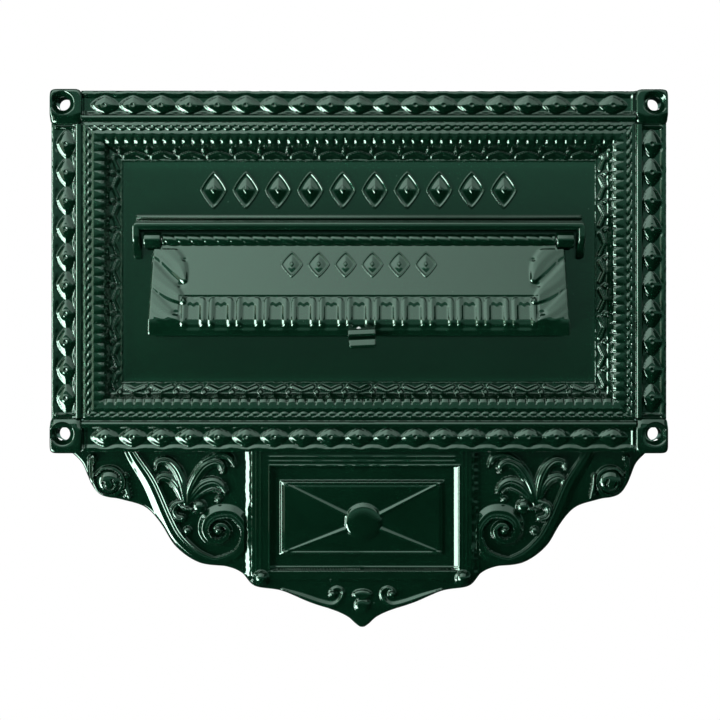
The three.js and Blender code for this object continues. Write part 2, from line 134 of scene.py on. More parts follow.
# ---- field, slot, hood ----
FIELD_HEIGHT = 6.0
FIELD_HALF = 148.0
FIELD_LOW_Z = -15.6
FIELD_TOP_Z = 124.2
SLOT_HALF = 120.0
SLOT_LOW_Z = 27.0
SLOT_TOP_Z = 58.0
ROOT_HEIGHT = 5.4
HOOD_HALF = 139.0
HOOD_TOP_Z = 84.0
HOOD_END_Z = 62.0
HOOD_THICK = 4.6
HOOD_FRONT = 20.0
HOOD_CORNER = 3.0
# Section of the ledge as (height, z); it and the hood are rooted a little below the field.
LEDGE_PROFILE = [
    (ROOT_HEIGHT, 90.0), (6.1, 89.6), (8.2, 89.2), (8.6, 88.7), (8.5, 88.2), (8.7, 88.0),
    (9.9, 87.8), (10.2, 87.4), (10.0, 87.0), (8.6, 86.8), (8.4, 86.4), (9.4, 86.1),
    (11.6, 85.7), (13.2, 85.0), (14.0, 84.0), (14.0, 82.0), (ROOT_HEIGHT, 82.0),
]
FIELD_ROW = {"count": 10, "pitch": 20.0, "half_x": 8.6, "half_z": 12.0, "z": 105.0, "rise": 2.2}
FLAP_ROW = {"count": 6, "pitch": 16.4, "half_x": 7.0, "half_z": 8.6, "z": 57.5, "rise": 1.6}

# ---- flap ----
# Front of the flap as (height, z), from the roll down over the lower edge.
FLAP_FACE = [
    (15.2, 70.8), (17.2, 65.5), (21.2, 52.4), (25.2, 39), (28.2, 29.0), (28.95, 26.6),
    (29.48, 24.9), (29.7, 23.8), (29.74, 22.4), (29.65, 20.4), (29.5, 18.0), (29.2, 16.2),
    (28.8, 15.1), (28.2, 14.4),
]
FLAP_WALL = 3.2
FLAP_CHEEK = 4.0
FLAP_TOP_HALF = 126.6
FLAP_LOW_HALF = 128.4
FLAP_EDGE_Z = 15.0
FLAP_RIM = 1.6
NOTCH_Z = 67.3
NOTCH_HALF = 120.6
ROLL_HALF = 121.0
ROLL_RADIUS = 3.8
ROPE_LEAD = 16.0
ROPE_DEPTH = 0.5
TONGUES = 13
TONGUE_PITCH = 16.75
# Inside of a cheek as (height, z).
CHEEK_BACK = [(22, 14.4), (6.4, 17), (6.4, 60), (11, 65.9)]
PULL_SHIFT = 1.6
PULL_TOP_Z = 18.8
PULL_LOW_Z = 7.2
PULL_ROOT = 32.0
PULL_SPREAD = 1.4
PULL_TILT = 0.35
PULL_SECTION = [
    (29.5, 7.2), (35.8, 7.1), (37.0, 7.3), (37.5, 8.0), (37.3, 9.0), (36.9, 10.2), (36.4, 11.4),
    (35.6, 12.2), (34.2, 12.8), (33.6, 13.3), (34.3, 13.8), (35.4, 14.2), (35.8, 15.0),
    (35.4, 16.2), (34.9, 17.4), (34.0, 18.3), (32.6, 18.8), (29.5, 18.8),
]
PULL_SCREW_Z = 18.0
# Screws as (radius, height) from the head to the tip, and a slot as in turned().
PULL_SCREW = [(0, 24.8), (1.2, 24.8), (2.0, 24.9), (2.6, 25.2), (2.9, 25.8), (2.9, 27.2),
              (1.5, 27.4), (1.5, 33.6), (0, 34)]
PULL_SCREW_SLOT = (0.4, 0.9, 24.9)
LUG_SCREW = [(0, 0.1), (1.4, 0.1), (2.4, 0.1), (3.3, 0.12), (3.8, 0.16), (4.0, 0.3),
             (4.0, 0.5), (2.0, 2.6), (2.0, 9.6), (1.4, 11.0), (0, 11.1)]
LUG_SCREW_SLOT = (0.55, 1.0, 0.13)
LUG_RADIUS = 5.0
LUG_FOOT_HALF = 4.4
LUG_EASE = 1.2

# ---- crest ----
CREST_TOP_Z = -56.0
CREST_DRIFT = 2.1
CREST_HALF = 180.0
CREST_GROUND = 5.2
EDGE_RADIUS = 1.7
PIER_X = 73.0
PIER_FOOT = 72.2
PIER_FACE = 68.4
CREST_EDGE = [
    (180, -57), (172.5, -64.5), (167.8, -75), (161, -84), (148, -87.4), (134, -92),
    (124.5, -102), (115, -116.6), (101, -126.3), (84, -129), (74.5, -133), (66.5, -141),
    (50, -144), (33, -151), (17, -156.4), (9, -160.2), (4.4, -164.2), (1.6, TIP_Z + 0.25),
    (0, TIP_Z),
]
BIG_VOLUTE_LEAD = [
    (143.6, -56, 3.2), (139.6, -62.9, 3.9), (130.4, -77.6, 4.6), (121.4, -98.5, 4.9),
    (115.0, -110.6, 5.0), (105.9, -119.9, 4.6), (97.5, -124.6, 4.0),
]
BIG_VOLUTE = {
    "centre": (88.7, -106.3), "first": -90, "step": -45,
    "rings": [
        (19.7, 3.6), (18.9, 3.6), (17.2, 3.7), (14.4, 4.2), (11.2, 4.7), (9.9, 4.2), (9.0, 3.5),
        (8.3, 2.9), (7.4, 2.4), (6.9, 2.1), (6.4, 2.0), (5.2, 1.9), (4.0, 1.8), (3.0, 1.7),
        (2.2, 1.6),
    ],
}
SMALL_VOLUTE_LEAD = [(166.6, -61.5, 2.4), (167.0, -66.5, 2.0), (166.8, -71, 1.9)]
SMALL_VOLUTE = {
    "centre": (156.2, -76.2), "first": -10, "step": -40,
    "rings": [
        (10.0, 1.9), (9.7, 1.9), (9.5, 1.8), (9.5, 1.7), (9.5, 1.7), (9.4, 1.6), (9.3, 1.5),
        (9.0, 1.3), (8.7, 1.0),
    ],
}
SMALL_DOME = (155.6, -76.0, 7.5, 4.2)
SMALL_HOOK = [(153.6, -75.0, 0.9), (152.6, -78.0, 1.0), (154.6, -80.6, 1.0), (158.0, -79.8, 0.9),
              (158.8, -76.6, 0.8)]
# A leaf is its centreline as [x, z, half width] and how far it rises over the ground.
LEAVES = [
    ([(104.6, -88, 1.2), (98.6, -83.4, 1.8), (92.4, -80.8, 2.0), (87.6, -82.6, 1.2)], 3.0),
    ([(98.5, -63.6, 1.2), (89.3, -59.6, 2.4), (82.5, -60.9, 2.6), (78.8, -66.6, 1.2)], 3.6),
    ([(107.6, -91, 1.4), (106.4, -82.2, 2.8), (102.4, -73.5, 3.7), (97.0, -66.6, 3.9),
      (90.8, -63.9, 3.3), (86.8, -66.0, 2.7), (85.8, -70.2, 1.5)], 3.9),
    ([(107.7, -90.6, 1.4), (104.6, -84.8, 2.9), (99.0, -78.6, 3.7), (92.4, -76.2, 3.5),
      (87.2, -78.4, 2.8), (84.4, -82.6, 1.6)], 3.5),
    ([(110.2, -90, 1.4), (113.4, -80.3, 2.8), (117.4, -75.0, 3.4), (122.4, -73.0, 3.0),
      (125.6, -75.0, 2.4), (126.0, -79.0, 1.4)], 3.5),
    ([(108.8, -91, 1.4), (109.8, -84.0, 2.7), (111.8, -74.7, 3.6), (115.6, -67.2, 3.7),
      (120.6, -63.2, 3.2), (125.6, -64.0, 2.7), (127.0, -68.4, 1.6)], 3.9),
    ([(110.1, -88.3, 1.8), (114.6, -90.4, 2.8), (116.8, -94.2, 3.2), (115.0, -98.0, 3.0),
      (111.0, -98.9, 2.6)], 4.4),
    ([(113.0, -89.6, 1.4), (109.4, -92.4, 1.9), (104.6, -92.8, 1.6)], 4.8),
]
BUDS = [(100.6, -91.6, 4.6, 4.4), (107.7, -106.6, 2.8, 2.8), (88.7, -87.2, 2.2, 2.6),
        (144.6, -84.4, 2.4, 2.8), (165.6, -61.6, 3.0, 4.0)]
SPUR = [(145.4, -72.0, 1.6), (145.2, -79.0, 2.0), (143.2, -86.0, 1.4)]
FOOT_SCROLL = [
    (49.5, -142.9, 0.9), (37.5, -146.9, 2.3), (26.0, -151.0, 2.9), (18.0, -152.2, 2.5),
    (13.4, -148.6, 2.0), (12.4, -144.6, 1.7), (15.2, -142.4, 1.6), (18.6, -143.8, 1.6),
    (19.4, -146.2, 1.6),
]
# Side of its path on which a volute's band has its doubled lip.
LIP_SIDE = -1
BIG_EYE = (3.0, 5.4)
# Sunk panel of the crest; its left and right walls are not quite alike.
PANEL_LOW_Z = -131.2
PANEL_TOP_Z = -66.4
PANEL_LEFT = 56.8
PANEL_RIGHT = 60.2
WALL_WIDE = 3.4
CORE_HALF = 51.4
CORE_LOW_Z = -121.6
CORE_TOP_Z = -75.2
BOSS = (0.6, -100.9)
BOSS_RADIUS = 11.5
KNOB = (62.5, -135.5)
KNOB_RADIUS = 5.3
FOOT_SCROLL_END = (18.4, -145.8)
BUD_Z = -152.8
CAP_Z = -146.2


# ---- numbers on grids ----
def catmull(points, samples):
    """A smooth line through the points, at an even spacing of its own parameter."""
    points = np.asarray(points, float)
    padded = np.vstack([points[:1], points, points[-1:]])
    where = np.linspace(0, len(points) - 1, samples)
    index = np.minimum(where.astype(int), len(points) - 2)
    t = (where - index)[:, None]
    p0, p1, p2, p3 = (padded[index + k] for k in range(4))
    v1 = (p2 - p0) / 2
    v2 = (p3 - p1) / 2
    cubic = (2 * t ** 3 - 3 * t ** 2 + 1) * p1 + (t ** 3 - 2 * t ** 2 + t) * v1
    return cubic + (3 * t ** 2 - 2 * t ** 3) * p2 + (t ** 3 - t ** 2) * v2


def even_line(points, count):
    """The same line resampled at an even distance along it."""
    points = np.asarray(points, float)
    lengths = np.hypot(*np.diff(points, axis=0).T[:2])
    along = np.concatenate([[0], np.cumsum(lengths)])
    wanted = np.linspace(0, along[-1], count)
    columns = [np.interp(wanted, along, column) for column in points.T]
    return np.stack(columns, axis=1)


def smooth(value, low, high):
    """0 below low, 1 above high and a soft step between."""
    t = np.clip((value - low) / (high - low), 0, 1)
    return t * t * (3 - 2 * t)


def ridge(value, centre, width):
    """A soft ridge, 1 at its centre."""
    return np.exp(-(((value - centre) / width) ** 2))


def crown(t, power=2.0):
    """A rounded crown over -1 to 1."""
    return np.sqrt(np.clip(1 - np.abs(np.clip(t, -1, 1)) ** power, 0, 1))


def spiral(volute):
    """The rings of a volute, (radius, half width) at each step, as [x, z, half width] points."""
    cx, cz = volute["centre"]
    points = []
    for i, (radius, half) in enumerate(volute["rings"]):
        angle = math.radians(volute["first"] + i * volute["step"])
        points.append((cx + radius * math.cos(angle), cz + radius * math.sin(angle), half))
    return points


def across_path(x, z, path, samples=220):
    """For every grid point: t across the band (-1 to 1 inside it) and s along it."""
    line = catmull(path, samples)
    tangent = np.gradient(line[:, :2], axis=0)
    tangent /= np.linalg.norm(tangent, axis=1)[:, None]
    across = np.full(x.shape, 9.0)
    along = np.zeros(x.shape)
    reach = line[:, 2].max() + 1
    low = line[:, :2].min(0) - reach
    high = line[:, :2].max(0) + reach
    near = (x > low[0]) & (x < high[0]) & (z > low[1]) & (z < high[1])
    px, pz = x[near], z[near]
    best = np.full(px.shape, 9.0)
    where = np.zeros(px.shape, int)
    for i, (lx, lz, half) in enumerate(line):
        distance = np.hypot(px - lx, pz - lz) / half
        closer = distance < best
        best[closer] = distance[closer]
        where[closer] = i
    side = tangent[where, 0] * (pz - line[where, 1]) - tangent[where, 1] * (px - line[where, 0])
    across[near] = best * np.where(side < 0, -1, 1)
    along[near] = where / (samples - 1)
    return across, along


def edge_distance(x, z, line):
    """Distance from every grid point to a polyline."""
    nearest = np.full(x.shape, 1e9)
    for (ax, az), (bx, bz) in zip(line[:-1], line[1:]):
        dx, dz = bx - ax, bz - az
        t = np.clip(((x - ax) * dx + (z - az) * dz) / (dx * dx + dz * dz), 0, 1)
        nearest = np.minimum(nearest, np.hypot(x - ax - t * dx, z - az - t * dz))
    return nearest


# ---- meshes ----
def loft(loops, closed=False):
    """Joins matching loops of (x, h, z) points into one closed skin; the ends are capped."""
    stations, around, _ = loops.shape
    index = np.arange(stations * around).reshape(stations, around)
    here = index if closed else index[:-1]
    ahead = np.roll(index, -1, axis=0) if closed else index[1:]
    quads = np.stack([here, np.roll(here, -1, 1), np.roll(ahead, -1, 1), ahead], axis=-1)
    faces = quads.reshape(-1, 4).tolist()
    if not closed:
        faces += [index[0].tolist(), index[-1][::-1].tolist()]
    return loops.reshape(-1, 3), faces


def gathered(parts):
    """Several closed skins as one list of points and one of faces."""
    points, faces, start = [], [], 0
    for more_points, more_faces in parts:
        points.append(more_points)
        faces += [[start + i for i in face] for face in more_faces]
        start += len(more_points)
    return np.vstack(points), faces


SHARP = math.radians(62)
WELD = 0.001 * MM
MOST_SIDES_SMOOTH = 8


def add_piece(name, skin, body, finish, replaces):
    """Makes the mesh object, puts its finish on and lets it ride on its body."""
    points, faces = skin
    metres = np.stack([points[:, 0], -points[:, 1], points[:, 2]], axis=1) * MM
    mesh = bpy.data.meshes.new(name)
    mesh.from_pydata(metres.tolist(), [], faces)
    work = bmesh.new()
    work.from_mesh(mesh)
    for face in work.faces:
        face.smooth = len(face.verts) <= MOST_SIDES_SMOOTH
    bmesh.ops.remove_doubles(work, verts=work.verts, dist=WELD)
    bmesh.ops.recalc_face_normals(work, faces=work.faces)
    work.to_mesh(mesh)
    work.free()
    mesh.set_sharp_from_angle(angle=SHARP)
    piece = bpy.data.objects.new(name, mesh)
    bpy.context.scene.collection.objects.link(piece)
    mesh.materials.append(finish)
    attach(piece, body)
    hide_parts(*replaces)


def ring_of(around):
    """The cosine and sine of even angles round a circle."""
    angles = np.linspace(0, 2 * np.pi, around, endpoint=False)
    return np.cos(angles), np.sin(angles)


def outline(around, power, half_x=1, half_z=1):
    """A closed outline as [x, z]: a lozenge when power is near 1 and a square when it is high."""
    cos, sin = ring_of(around)
    reach = (np.abs(cos) ** power + np.abs(sin) ** power) ** (-1 / power)
    return np.stack([cos * half_x, sin * half_z], axis=1) * reach[:, None]


def turned(profile, x, z, slot):
    """A turned piece on an axis square to the wall, from (radius, h) points. Its driver slot is
    (half width, depth, height of the head's face)."""
    around = 64
    cos, sin = ring_of(around)
    rings = []
    for radius, height in profile:
        radius = max(radius, 0.05)
        level = np.full(around, float(height))
        rings.append(np.stack([x + radius * cos, level, z + radius * sin], axis=1))
    loops = np.array(rings)
    half, depth, face = slot
    cut = (np.abs(loops[..., 2] - z) < half) & (np.abs(loops[..., 1] - face) < 0.3)
    loops[..., 1] = np.where(cut, loops[..., 1] + depth, loops[..., 1])
    return loft(loops)


# ---- frame rails ----
def diamond(a, b):
    """Rise of one diamond over its floor: four broad facets and a dimpled nub."""
    power = 1.28
    reach = (np.abs(a / DIAMOND_HALF_LONG) ** power
             + np.abs(b / DIAMOND_HALF_ACROSS) ** power) ** (1 / power)
    inward = np.clip(1 - reach, 0, 1)
    facets = 0.55 * smooth(inward, 0, 0.05) + 3.3 * inward ** 0.9 / (1 + inward ** 3)
    rim = 0.30 * ridge(inward, 0.15, 0.035)
    radius = np.hypot(a, b * 1.1)
    nub = 0.40 * ridge(radius, 1.5, 0.6) - 0.3 * ridge(radius, 0, 0.6)
    return np.where(reach < 1, facets + nub - rim, 0)


# A stroke goes from (along, inset) to (along, inset), then its half width at each end.
LEAF_STROKES = [
    ((0.2, 37.8), (6.2, 40.2), 1.0, 1.35), ((8.7, 37.3), (8.7, 38.9), 1.6, 0.3),
]


def leaf_share(a, d):
    """Where the winged leaves and darts of the inner border stand; a runs over one repeat."""
    a = np.abs(a)
    share = np.zeros(a.shape)
    for (a0, d0), (a1, d1), half0, half1 in LEAF_STROKES:
        da, dd = a1 - a0, d1 - d0
        t = np.clip(((a - a0) * da + (d - d0) * dd) / (da * da + dd * dd), 0, 1)
        distance = np.hypot(a - a0 - t * da, d - d0 - t * dd) - (half0 + (half1 - half0) * t)
        share = np.maximum(share, smooth(-distance, -0.25, 0.35))
    return share


def rail_height(s, d, diamonds, block_edge):
    """Height of a rail's front, s along it from its middle and d in from its outer edge."""
    knots = np.array(RAIL_PROFILE)
    # the mouldings waver a little, as sand-cast ones do, and bow round each diamond
    bow = 0.9 * (np.cos(2 * np.pi * s / DIAMOND_PITCH + np.pi * (diamonds - 1)) - 1)
    bow = bow * (ridge(d, 3.0, 1.6) - ridge(d, 14.4, 1.3)) * 0.5
    waver = 0.10 * np.sin(s * 1.13) * np.sin(s * 0.31 + 1) + 0.08 * np.sin(s * 0.52 + d * 0.2)
    height = np.interp(d + waver + bow, knots[:, 0], knots[:, 1])
    # diamonds on their sunk floor
    number = np.clip(np.round(s / DIAMOND_PITCH + (diamonds - 1) / 2), 0, diamonds - 1)
    a = s - (number - (diamonds - 1) / 2) * DIAMOND_PITCH
    raised = DIAMOND_FLOOR + diamond(a, d - DIAMOND_INSET)
    in_band = (d > DIAMOND_BAND[0]) & (d < DIAMOND_BAND[1])
    height = np.where(in_band, np.maximum(height, raised), height)
    # collar beside the corner block
    short = block_edge - np.abs(s)
    height += np.where(in_band, 1.5 * ridge(short, 1.7, 0.55) - 0.3 * ridge(short, 0.6, 0.3), 0)
    # plain torus
    off = d - TORUS_INSET
    torus = TORUS_FOOT + TORUS_HALF * crown(off / TORUS_HALF)
    height = np.where(np.abs(off) < TORUS_HALF, np.maximum(height, torus), height)
    # two rows of small beads under a smooth slope
    for row, shift in BEAD_ROWS:
        near = (s / BEAD_PITCH + shift + 0.5) % 1 - 0.5
        bead = crown(np.hypot(near * BEAD_PITCH / 2.1, d - row) / BEAD_HALF)
        height = np.where(bead > 0, np.maximum(height, BEAD_FOOT + BEAD_RISE * bead), height)
    # gadroons: smooth lobes with rounded ends
    lobe = np.abs((s / BEAD_PITCH + 0.5) % 1 - 0.5) * 2
    reach = smooth(d, 25.8, 27.4) * (1 - smooth(d, 33.6, 35.0))
    height -= reach * (0.35 + 1.3 * smooth(d, 28, 32.5)) * (1 - crown(lobe, 2.4))
    # leaf border: its leaves share one slope, the ground lies flatter
    repeat = (s / DIAMOND_PITCH + 0.5) % 1 - 0.5
    slope = 9.6 - 0.46 * (d - LEAF_OUTER)
    in_border = (d > LEAF_OUTER - 0.6) & (d < LEAF_INNER)
    share = np.where(in_border, leaf_share(repeat * DIAMOND_PITCH, d), 0)
    return height + share * np.maximum(slope - height, 0)


def rail_skin(half, diamonds, block_wide):
    """One rail from mitre to mitre, as (s along, inset, height) loops. Its outer part stops
    just inside the corner blocks, so that their screw holes stay open."""
    block_edge = half + BLOCK_PROUD - block_wide
    split = half - block_edge - BLOCK_LAP
    knots = [inset for inset, _ in RAIL_PROFILE] + [split]
    fine = np.arange(0, RAIL_WIDE, RAIL_STEP_ACROSS)
    front = np.unique(np.round(np.concatenate([fine, knots]), 3))
    keep = np.concatenate([np.diff(front) > 0.12, [True]])
    front = front[keep | np.isclose(front, split)]
    back = np.array(RAIL_BACK, float)
    at = int(np.searchsorted(-back[:, 0], -split))
    split_height = np.interp(split, back[::-1, 0], back[::-1, 1])
    back = np.insert(back, at, (split, split_height), axis=0)
    inset = np.concatenate([front, back[:, 0]])
    stations = int(2 * half / RAIL_STEP)
    share = np.linspace(-1, 1, stations)[:, None]
    along = share * np.minimum(half - inset, block_edge + BLOCK_LAP)[None, :]
    across = np.broadcast_to(inset, along.shape)
    height = rail_height(along, across, diamonds, block_edge)
    under = np.abs(along) > block_edge + 0.4
    height = np.where(under & (across < split + 1.0), np.minimum(height, 12.0), height)
    height[:, len(front):] = back[:, 1]
    seam = (int(np.argmin(np.abs(front - split))), len(front) + at)
    return along, across, height, seam


def rail_points(side, along, across, height, seam):
    """Places a rail's loops on one of the four sides of the frame."""
    if side == "top":
        x, z = along, TOP_Z - BLOCK_PROUD - across
    elif side == "bottom":
        x, z = along, FRAME_BOTTOM_Z + BLOCK_PROUD + across
    elif side == "left":
        x, z = across - RAIL_HALF, FRAME_MID_Z + along
    else:
        x, z = RAIL_HALF - across, FRAME_MID_Z + along
    points, faces = loft(np.stack([x, height, z], axis=-1))
    # each end cap bends at the seam, so it is two flat faces
    front, back = seam
    for cap in (faces.pop(), faces.pop()):
        ring = sorted(cap)
        faces.append(ring[:front + 1] + ring[back:])
        faces.append(ring[front:back + 1])
    return points, faces


def corner_block(sx, sz):
    """A rounded block with a countersunk hole: its loops run up the hole, over the front and
    down the outside."""
    around = 128
    circle = np.stack(ring_of(around), axis=1)
    top_z, hole_z = (TOP_Z, HOLE_TOP_Z) if sz > 0 else (FRAME_BOTTOM_Z, HOLE_BOTTOM_Z)
    centre = np.array([sx * (HALF_WIDTH - BLOCK_WIDE / 2), top_z - sz * BLOCK_TALL / 2])
    hole = np.array([sx * HOLE_X, hole_z])
    square = outline(around, 7.0)
    half = np.array([BLOCK_WIDE / 2, BLOCK_TALL / 2])
    sink = BLOCK_HEIGHT - SINK_DEPTH
    rings = [("hole", HOLE_RADIUS, 0), ("hole", HOLE_RADIUS, sink - 0.4),
             ("hole", HOLE_RADIUS + 0.25, sink), ("hole", HOLE_RADIUS + 0.7, sink + 0.35),
             ("hole", SINK_RADIUS - 0.7, BLOCK_HEIGHT - 0.75),
             ("hole", SINK_RADIUS - 0.1, BLOCK_HEIGHT - 0.25),
             ("hole", SINK_RADIUS + 0.35, BLOCK_HEIGHT + 0.02)]
    rings += [("top", t, BLOCK_HEIGHT) for t in (0.35, 0.7)]
    edge = 1.8 + 4.2 * smooth(-sz * circle[:, 1:], 0.35, 0.75)
    for turn in np.linspace(0, math.pi / 2, 9):
        rings.append(("edge", 1 - math.sin(turn), 1 - math.cos(turn)))
    rings.append(("side", 0.0, 0))
    loops = []
    for kind, value, height in rings:
        level = np.full(around, float(height))
        if kind == "hole":
            flat = hole + circle * value
        elif kind == "side":
            flat = centre + square * half
        elif kind == "edge":
            flat = centre + square * (half - edge * value)
            level = BLOCK_HEIGHT - height * np.minimum(edge[:, 0], 3.4)
        else:
            inner = hole + circle * (SINK_RADIUS + 0.35)
            flat = inner + (centre + square * (half - edge) - inner) * value
        loops.append(np.stack([flat[:, 0], level, flat[:, 1]], axis=1))
    return loft(np.array(loops), closed=True)


# ---- field, rows of lozenges, hood ----
def field_skin():
    """The flat field: a slab with the letter slot through it, edges eased."""
    inner = np.array([(-SLOT_HALF, SLOT_LOW_Z), (SLOT_HALF, SLOT_LOW_Z),
                      (SLOT_HALF, SLOT_TOP_Z), (-SLOT_HALF, SLOT_TOP_Z)])
    outer = np.array([(-FIELD_HALF, FIELD_LOW_Z), (FIELD_HALF, FIELD_LOW_Z),
                      (FIELD_HALF, FIELD_TOP_Z), (-FIELD_HALF, FIELD_TOP_Z)])
    way = np.array([(-1, -1), (1, -1), (1, 1), (-1, 1)])
    loops = []
    for i in range(4):
        section = [(0.5, 0), (0, 0.5), (0, 5.1), (0.25, 5.65), (0.9, FIELD_HEIGHT)]
        loop = [(*(inner[i] + way[i] * out), h) for out, h in section]
        for share in np.linspace(0.1, 1, 10):
            flat = inner[i] + (outer[i] - inner[i]) * share
            loop.append((*flat, FIELD_HEIGHT))
        loop.append((*outer[i], 0))
        loops.append([(x, h, z) for x, z, h in loop])
    return loft(np.array(loops), closed=True)


def lozenge(x, z, half_x, half_z, rise):
    """One faceted lozenge with an outline and a nub, standing on height 0."""
    around = 72
    flat = outline(around, 1.18, half_x, half_z)
    profile = [(1.0, -0.6), (1.0, 0.15), (0.985, 0.5), (0.95, 0.72), (0.90, 0.78), (0.85, 0.70),
               (0.80, 0.42), (0.76, 0.36), (0.6, 0.56), (0.4, 0.82), (0.24, 1.0), (0.2, 1.02),
               (0.17, 1.2), (0.11, 1.34), (0.05, 1.38), (0.004, 1.4)]
    loops = []
    for scale, level in profile:
        height = level * rise / 1.4 if level > 0 else level
        ring = flat * scale
        loops.append(np.stack([x + ring[:, 0], np.full(around, height), z + ring[:, 1]], axis=1))
    return loft(np.array(loops))


def lozenge_row(row, place):
    """A row of lozenges; place turns each flat skin into its position."""
    parts = []
    for i in range(row["count"]):
        x = (i - (row["count"] - 1) / 2) * row["pitch"]
        points, faces = lozenge(x, row["z"], row["half_x"], row["half_z"], row["rise"])
        parts.append((place(points), faces))
    return gathered(parts)


def on_field(points):
    """Lifts points modelled on height 0 onto the field."""
    return points + np.array([0, FIELD_HEIGHT, 0])


def on_flap(points):
    """Tilts points modelled flat round the top of the flap's face, so that they lie on it."""
    (h0, z0), (h1, z1) = FLAP_FACE[1], FLAP_FACE[3]
    tilt = math.atan2(h1 - h0, z0 - z1)
    down = z0 - points[:, 2]
    up = points[:, 1]
    height = h0 + down * math.sin(tilt) + up * math.cos(tilt)
    z = z0 - down * math.cos(tilt) + up * math.sin(tilt)
    return np.stack([points[:, 0], height, z], axis=1)


def hood_skin():
    """The hood over the hinge: a bar with rounded corners and a return down each side."""
    path = [(-HOOD_HALF, z) for z in np.linspace(HOOD_END_Z, HOOD_TOP_Z - HOOD_CORNER, 22)]
    normal = [(-1, 0)] * 22
    for sx in (-1, 1):
        for turn in np.linspace(0, math.pi / 2, 9)[1:-1][::-sx]:
            out = (sx * math.cos(turn), math.sin(turn))
            corner = (sx * (HOOD_HALF - HOOD_CORNER), HOOD_TOP_Z - HOOD_CORNER)
            path.append((corner[0] + HOOD_CORNER * out[0], corner[1] + HOOD_CORNER * out[1]))
            normal.append(out)
        if sx < 0:
            for x in np.linspace(HOOD_CORNER - HOOD_HALF, HOOD_HALF - HOOD_CORNER, 40):
                path.append((x, HOOD_TOP_Z))
                normal.append((0, 1))
    path += [(HOOD_HALF, z) for z in np.linspace(HOOD_TOP_Z - HOOD_CORNER, HOOD_END_Z, 22)]
    normal += [(1, 0)] * 22
    section = [(0, ROOT_HEIGHT), (0, HOOD_FRONT - 1.4), (0.15, HOOD_FRONT - 0.7),
               (0.6, HOOD_FRONT - 0.2), (1.3, HOOD_FRONT), (3.0, HOOD_FRONT),
               (3.8, HOOD_FRONT - 0.2), (4.3, HOOD_FRONT - 0.7), (HOOD_THICK, HOOD_FRONT - 1.4),
               (HOOD_THICK, ROOT_HEIGHT)]
    loops = []
    for (x, z), (nx, nz) in zip(path, normal):
        on_side = abs(nx) > 0.99
        rise = float(smooth(z, HOOD_END_Z - 2, HOOD_END_Z + 13)) if on_side else 1.0
        cap = float(crown(1 - (z - HOOD_END_Z) / 1.6)) if on_side and z < HOOD_END_Z + 1.6 else 1.0
        tall = 0.30 + 0.70 * rise
        loop = []
        for inset, height in section:
            middle = HOOD_THICK / 2
            inset = middle + (inset - middle) * (0.35 + 0.65 * cap)
            height = ROOT_HEIGHT + (height - ROOT_HEIGHT) * tall * (0.4 + 0.6 * cap)
            loop.append((x - nx * inset, height, z - nz * inset))
        loops.append(loop)
    return loft(np.array(loops))


def ledge_skin():
    """Stepped moulding along the top of the hood."""
    half = HOOD_HALF - 0.6
    loops = []
    for x in (-half, -half + 0.5, -half + 1.2, half - 1.2, half - 0.5, half):
        ease = 1 - 0.5 * max(0, (abs(x) - half + 1.2) / 1.2) ** 2
        loops.append([(x, ROOT_HEIGHT + (h - ROOT_HEIGHT) * ease, z) for h, z in LEDGE_PROFILE])
    return loft(np.array(loops))


# ---- crest ----
def crest_grid(x_low, x_high, column_step, row_count):
    """Columns from the frame down to the crest's edge, closer where the edge is steep."""
    edge = catmull(CREST_EDGE, 900)
    along = even_line(edge, int(np.hypot(*np.diff(edge, axis=0).T).sum() / column_step))
    x = along[:, 0][::-1]
    x = x[(x > x_low) & (x < x_high)]
    x = np.concatenate([[x_low], x[(x - x_low > 0.1) & (x_high - x > 0.1)], [x_high]])
    x = x[np.concatenate([[True], np.diff(x) > 0.03])]
    bottom = np.interp(x, edge[::-1, 0], edge[::-1, 1])
    share = np.linspace(0, 1, row_count)[None, :]
    z = CREST_TOP_Z + (bottom[:, None] - CREST_TOP_Z) * share
    return np.broadcast_to(x[:, None], z.shape), z, edge


def crest_skin(x, height, z, mirror):
    """Closes a crest height field with its side walls and flat back, and sets it in place."""
    back_z = np.concatenate([z[:, -1:], z[:, :1]], axis=1)
    all_x = np.concatenate([x, np.broadcast_to(x[:, :1], back_z.shape)], axis=1)
    all_z = np.concatenate([z, back_z], axis=1)
    all_h = np.concatenate([height, np.zeros(back_z.shape)], axis=1)
    placed = mirror * all_x
    placed = placed + CREST_DRIFT * (1 - (placed / CREST_HALF) ** 2)
    return loft(np.stack([placed, all_h, all_z], axis=-1))


def eased_edge(height, distance):
    """Rounds the front over to the side wall along the crest's edge."""
    return height - EDGE_RADIUS * (1 - crown(1 - np.clip(distance / EDGE_RADIUS, 0, 1)))


def volute_rise(across, tall, lip_side, lip):
    """A band with a sloping outer flank and a doubled lip along its inner edge."""
    t = across * lip_side
    flank = np.clip((1 + t) / 0.78, 0, 1)
    inner = np.clip((1 - t) / 0.10, 0, 1)
    doubled = lip * (ridge(t, 0.84, 0.11) + 0.8 * ridge(t, 0.50, 0.11))
    return (tall * np.minimum(flank, inner) + doubled) * (np.abs(across) < 1)


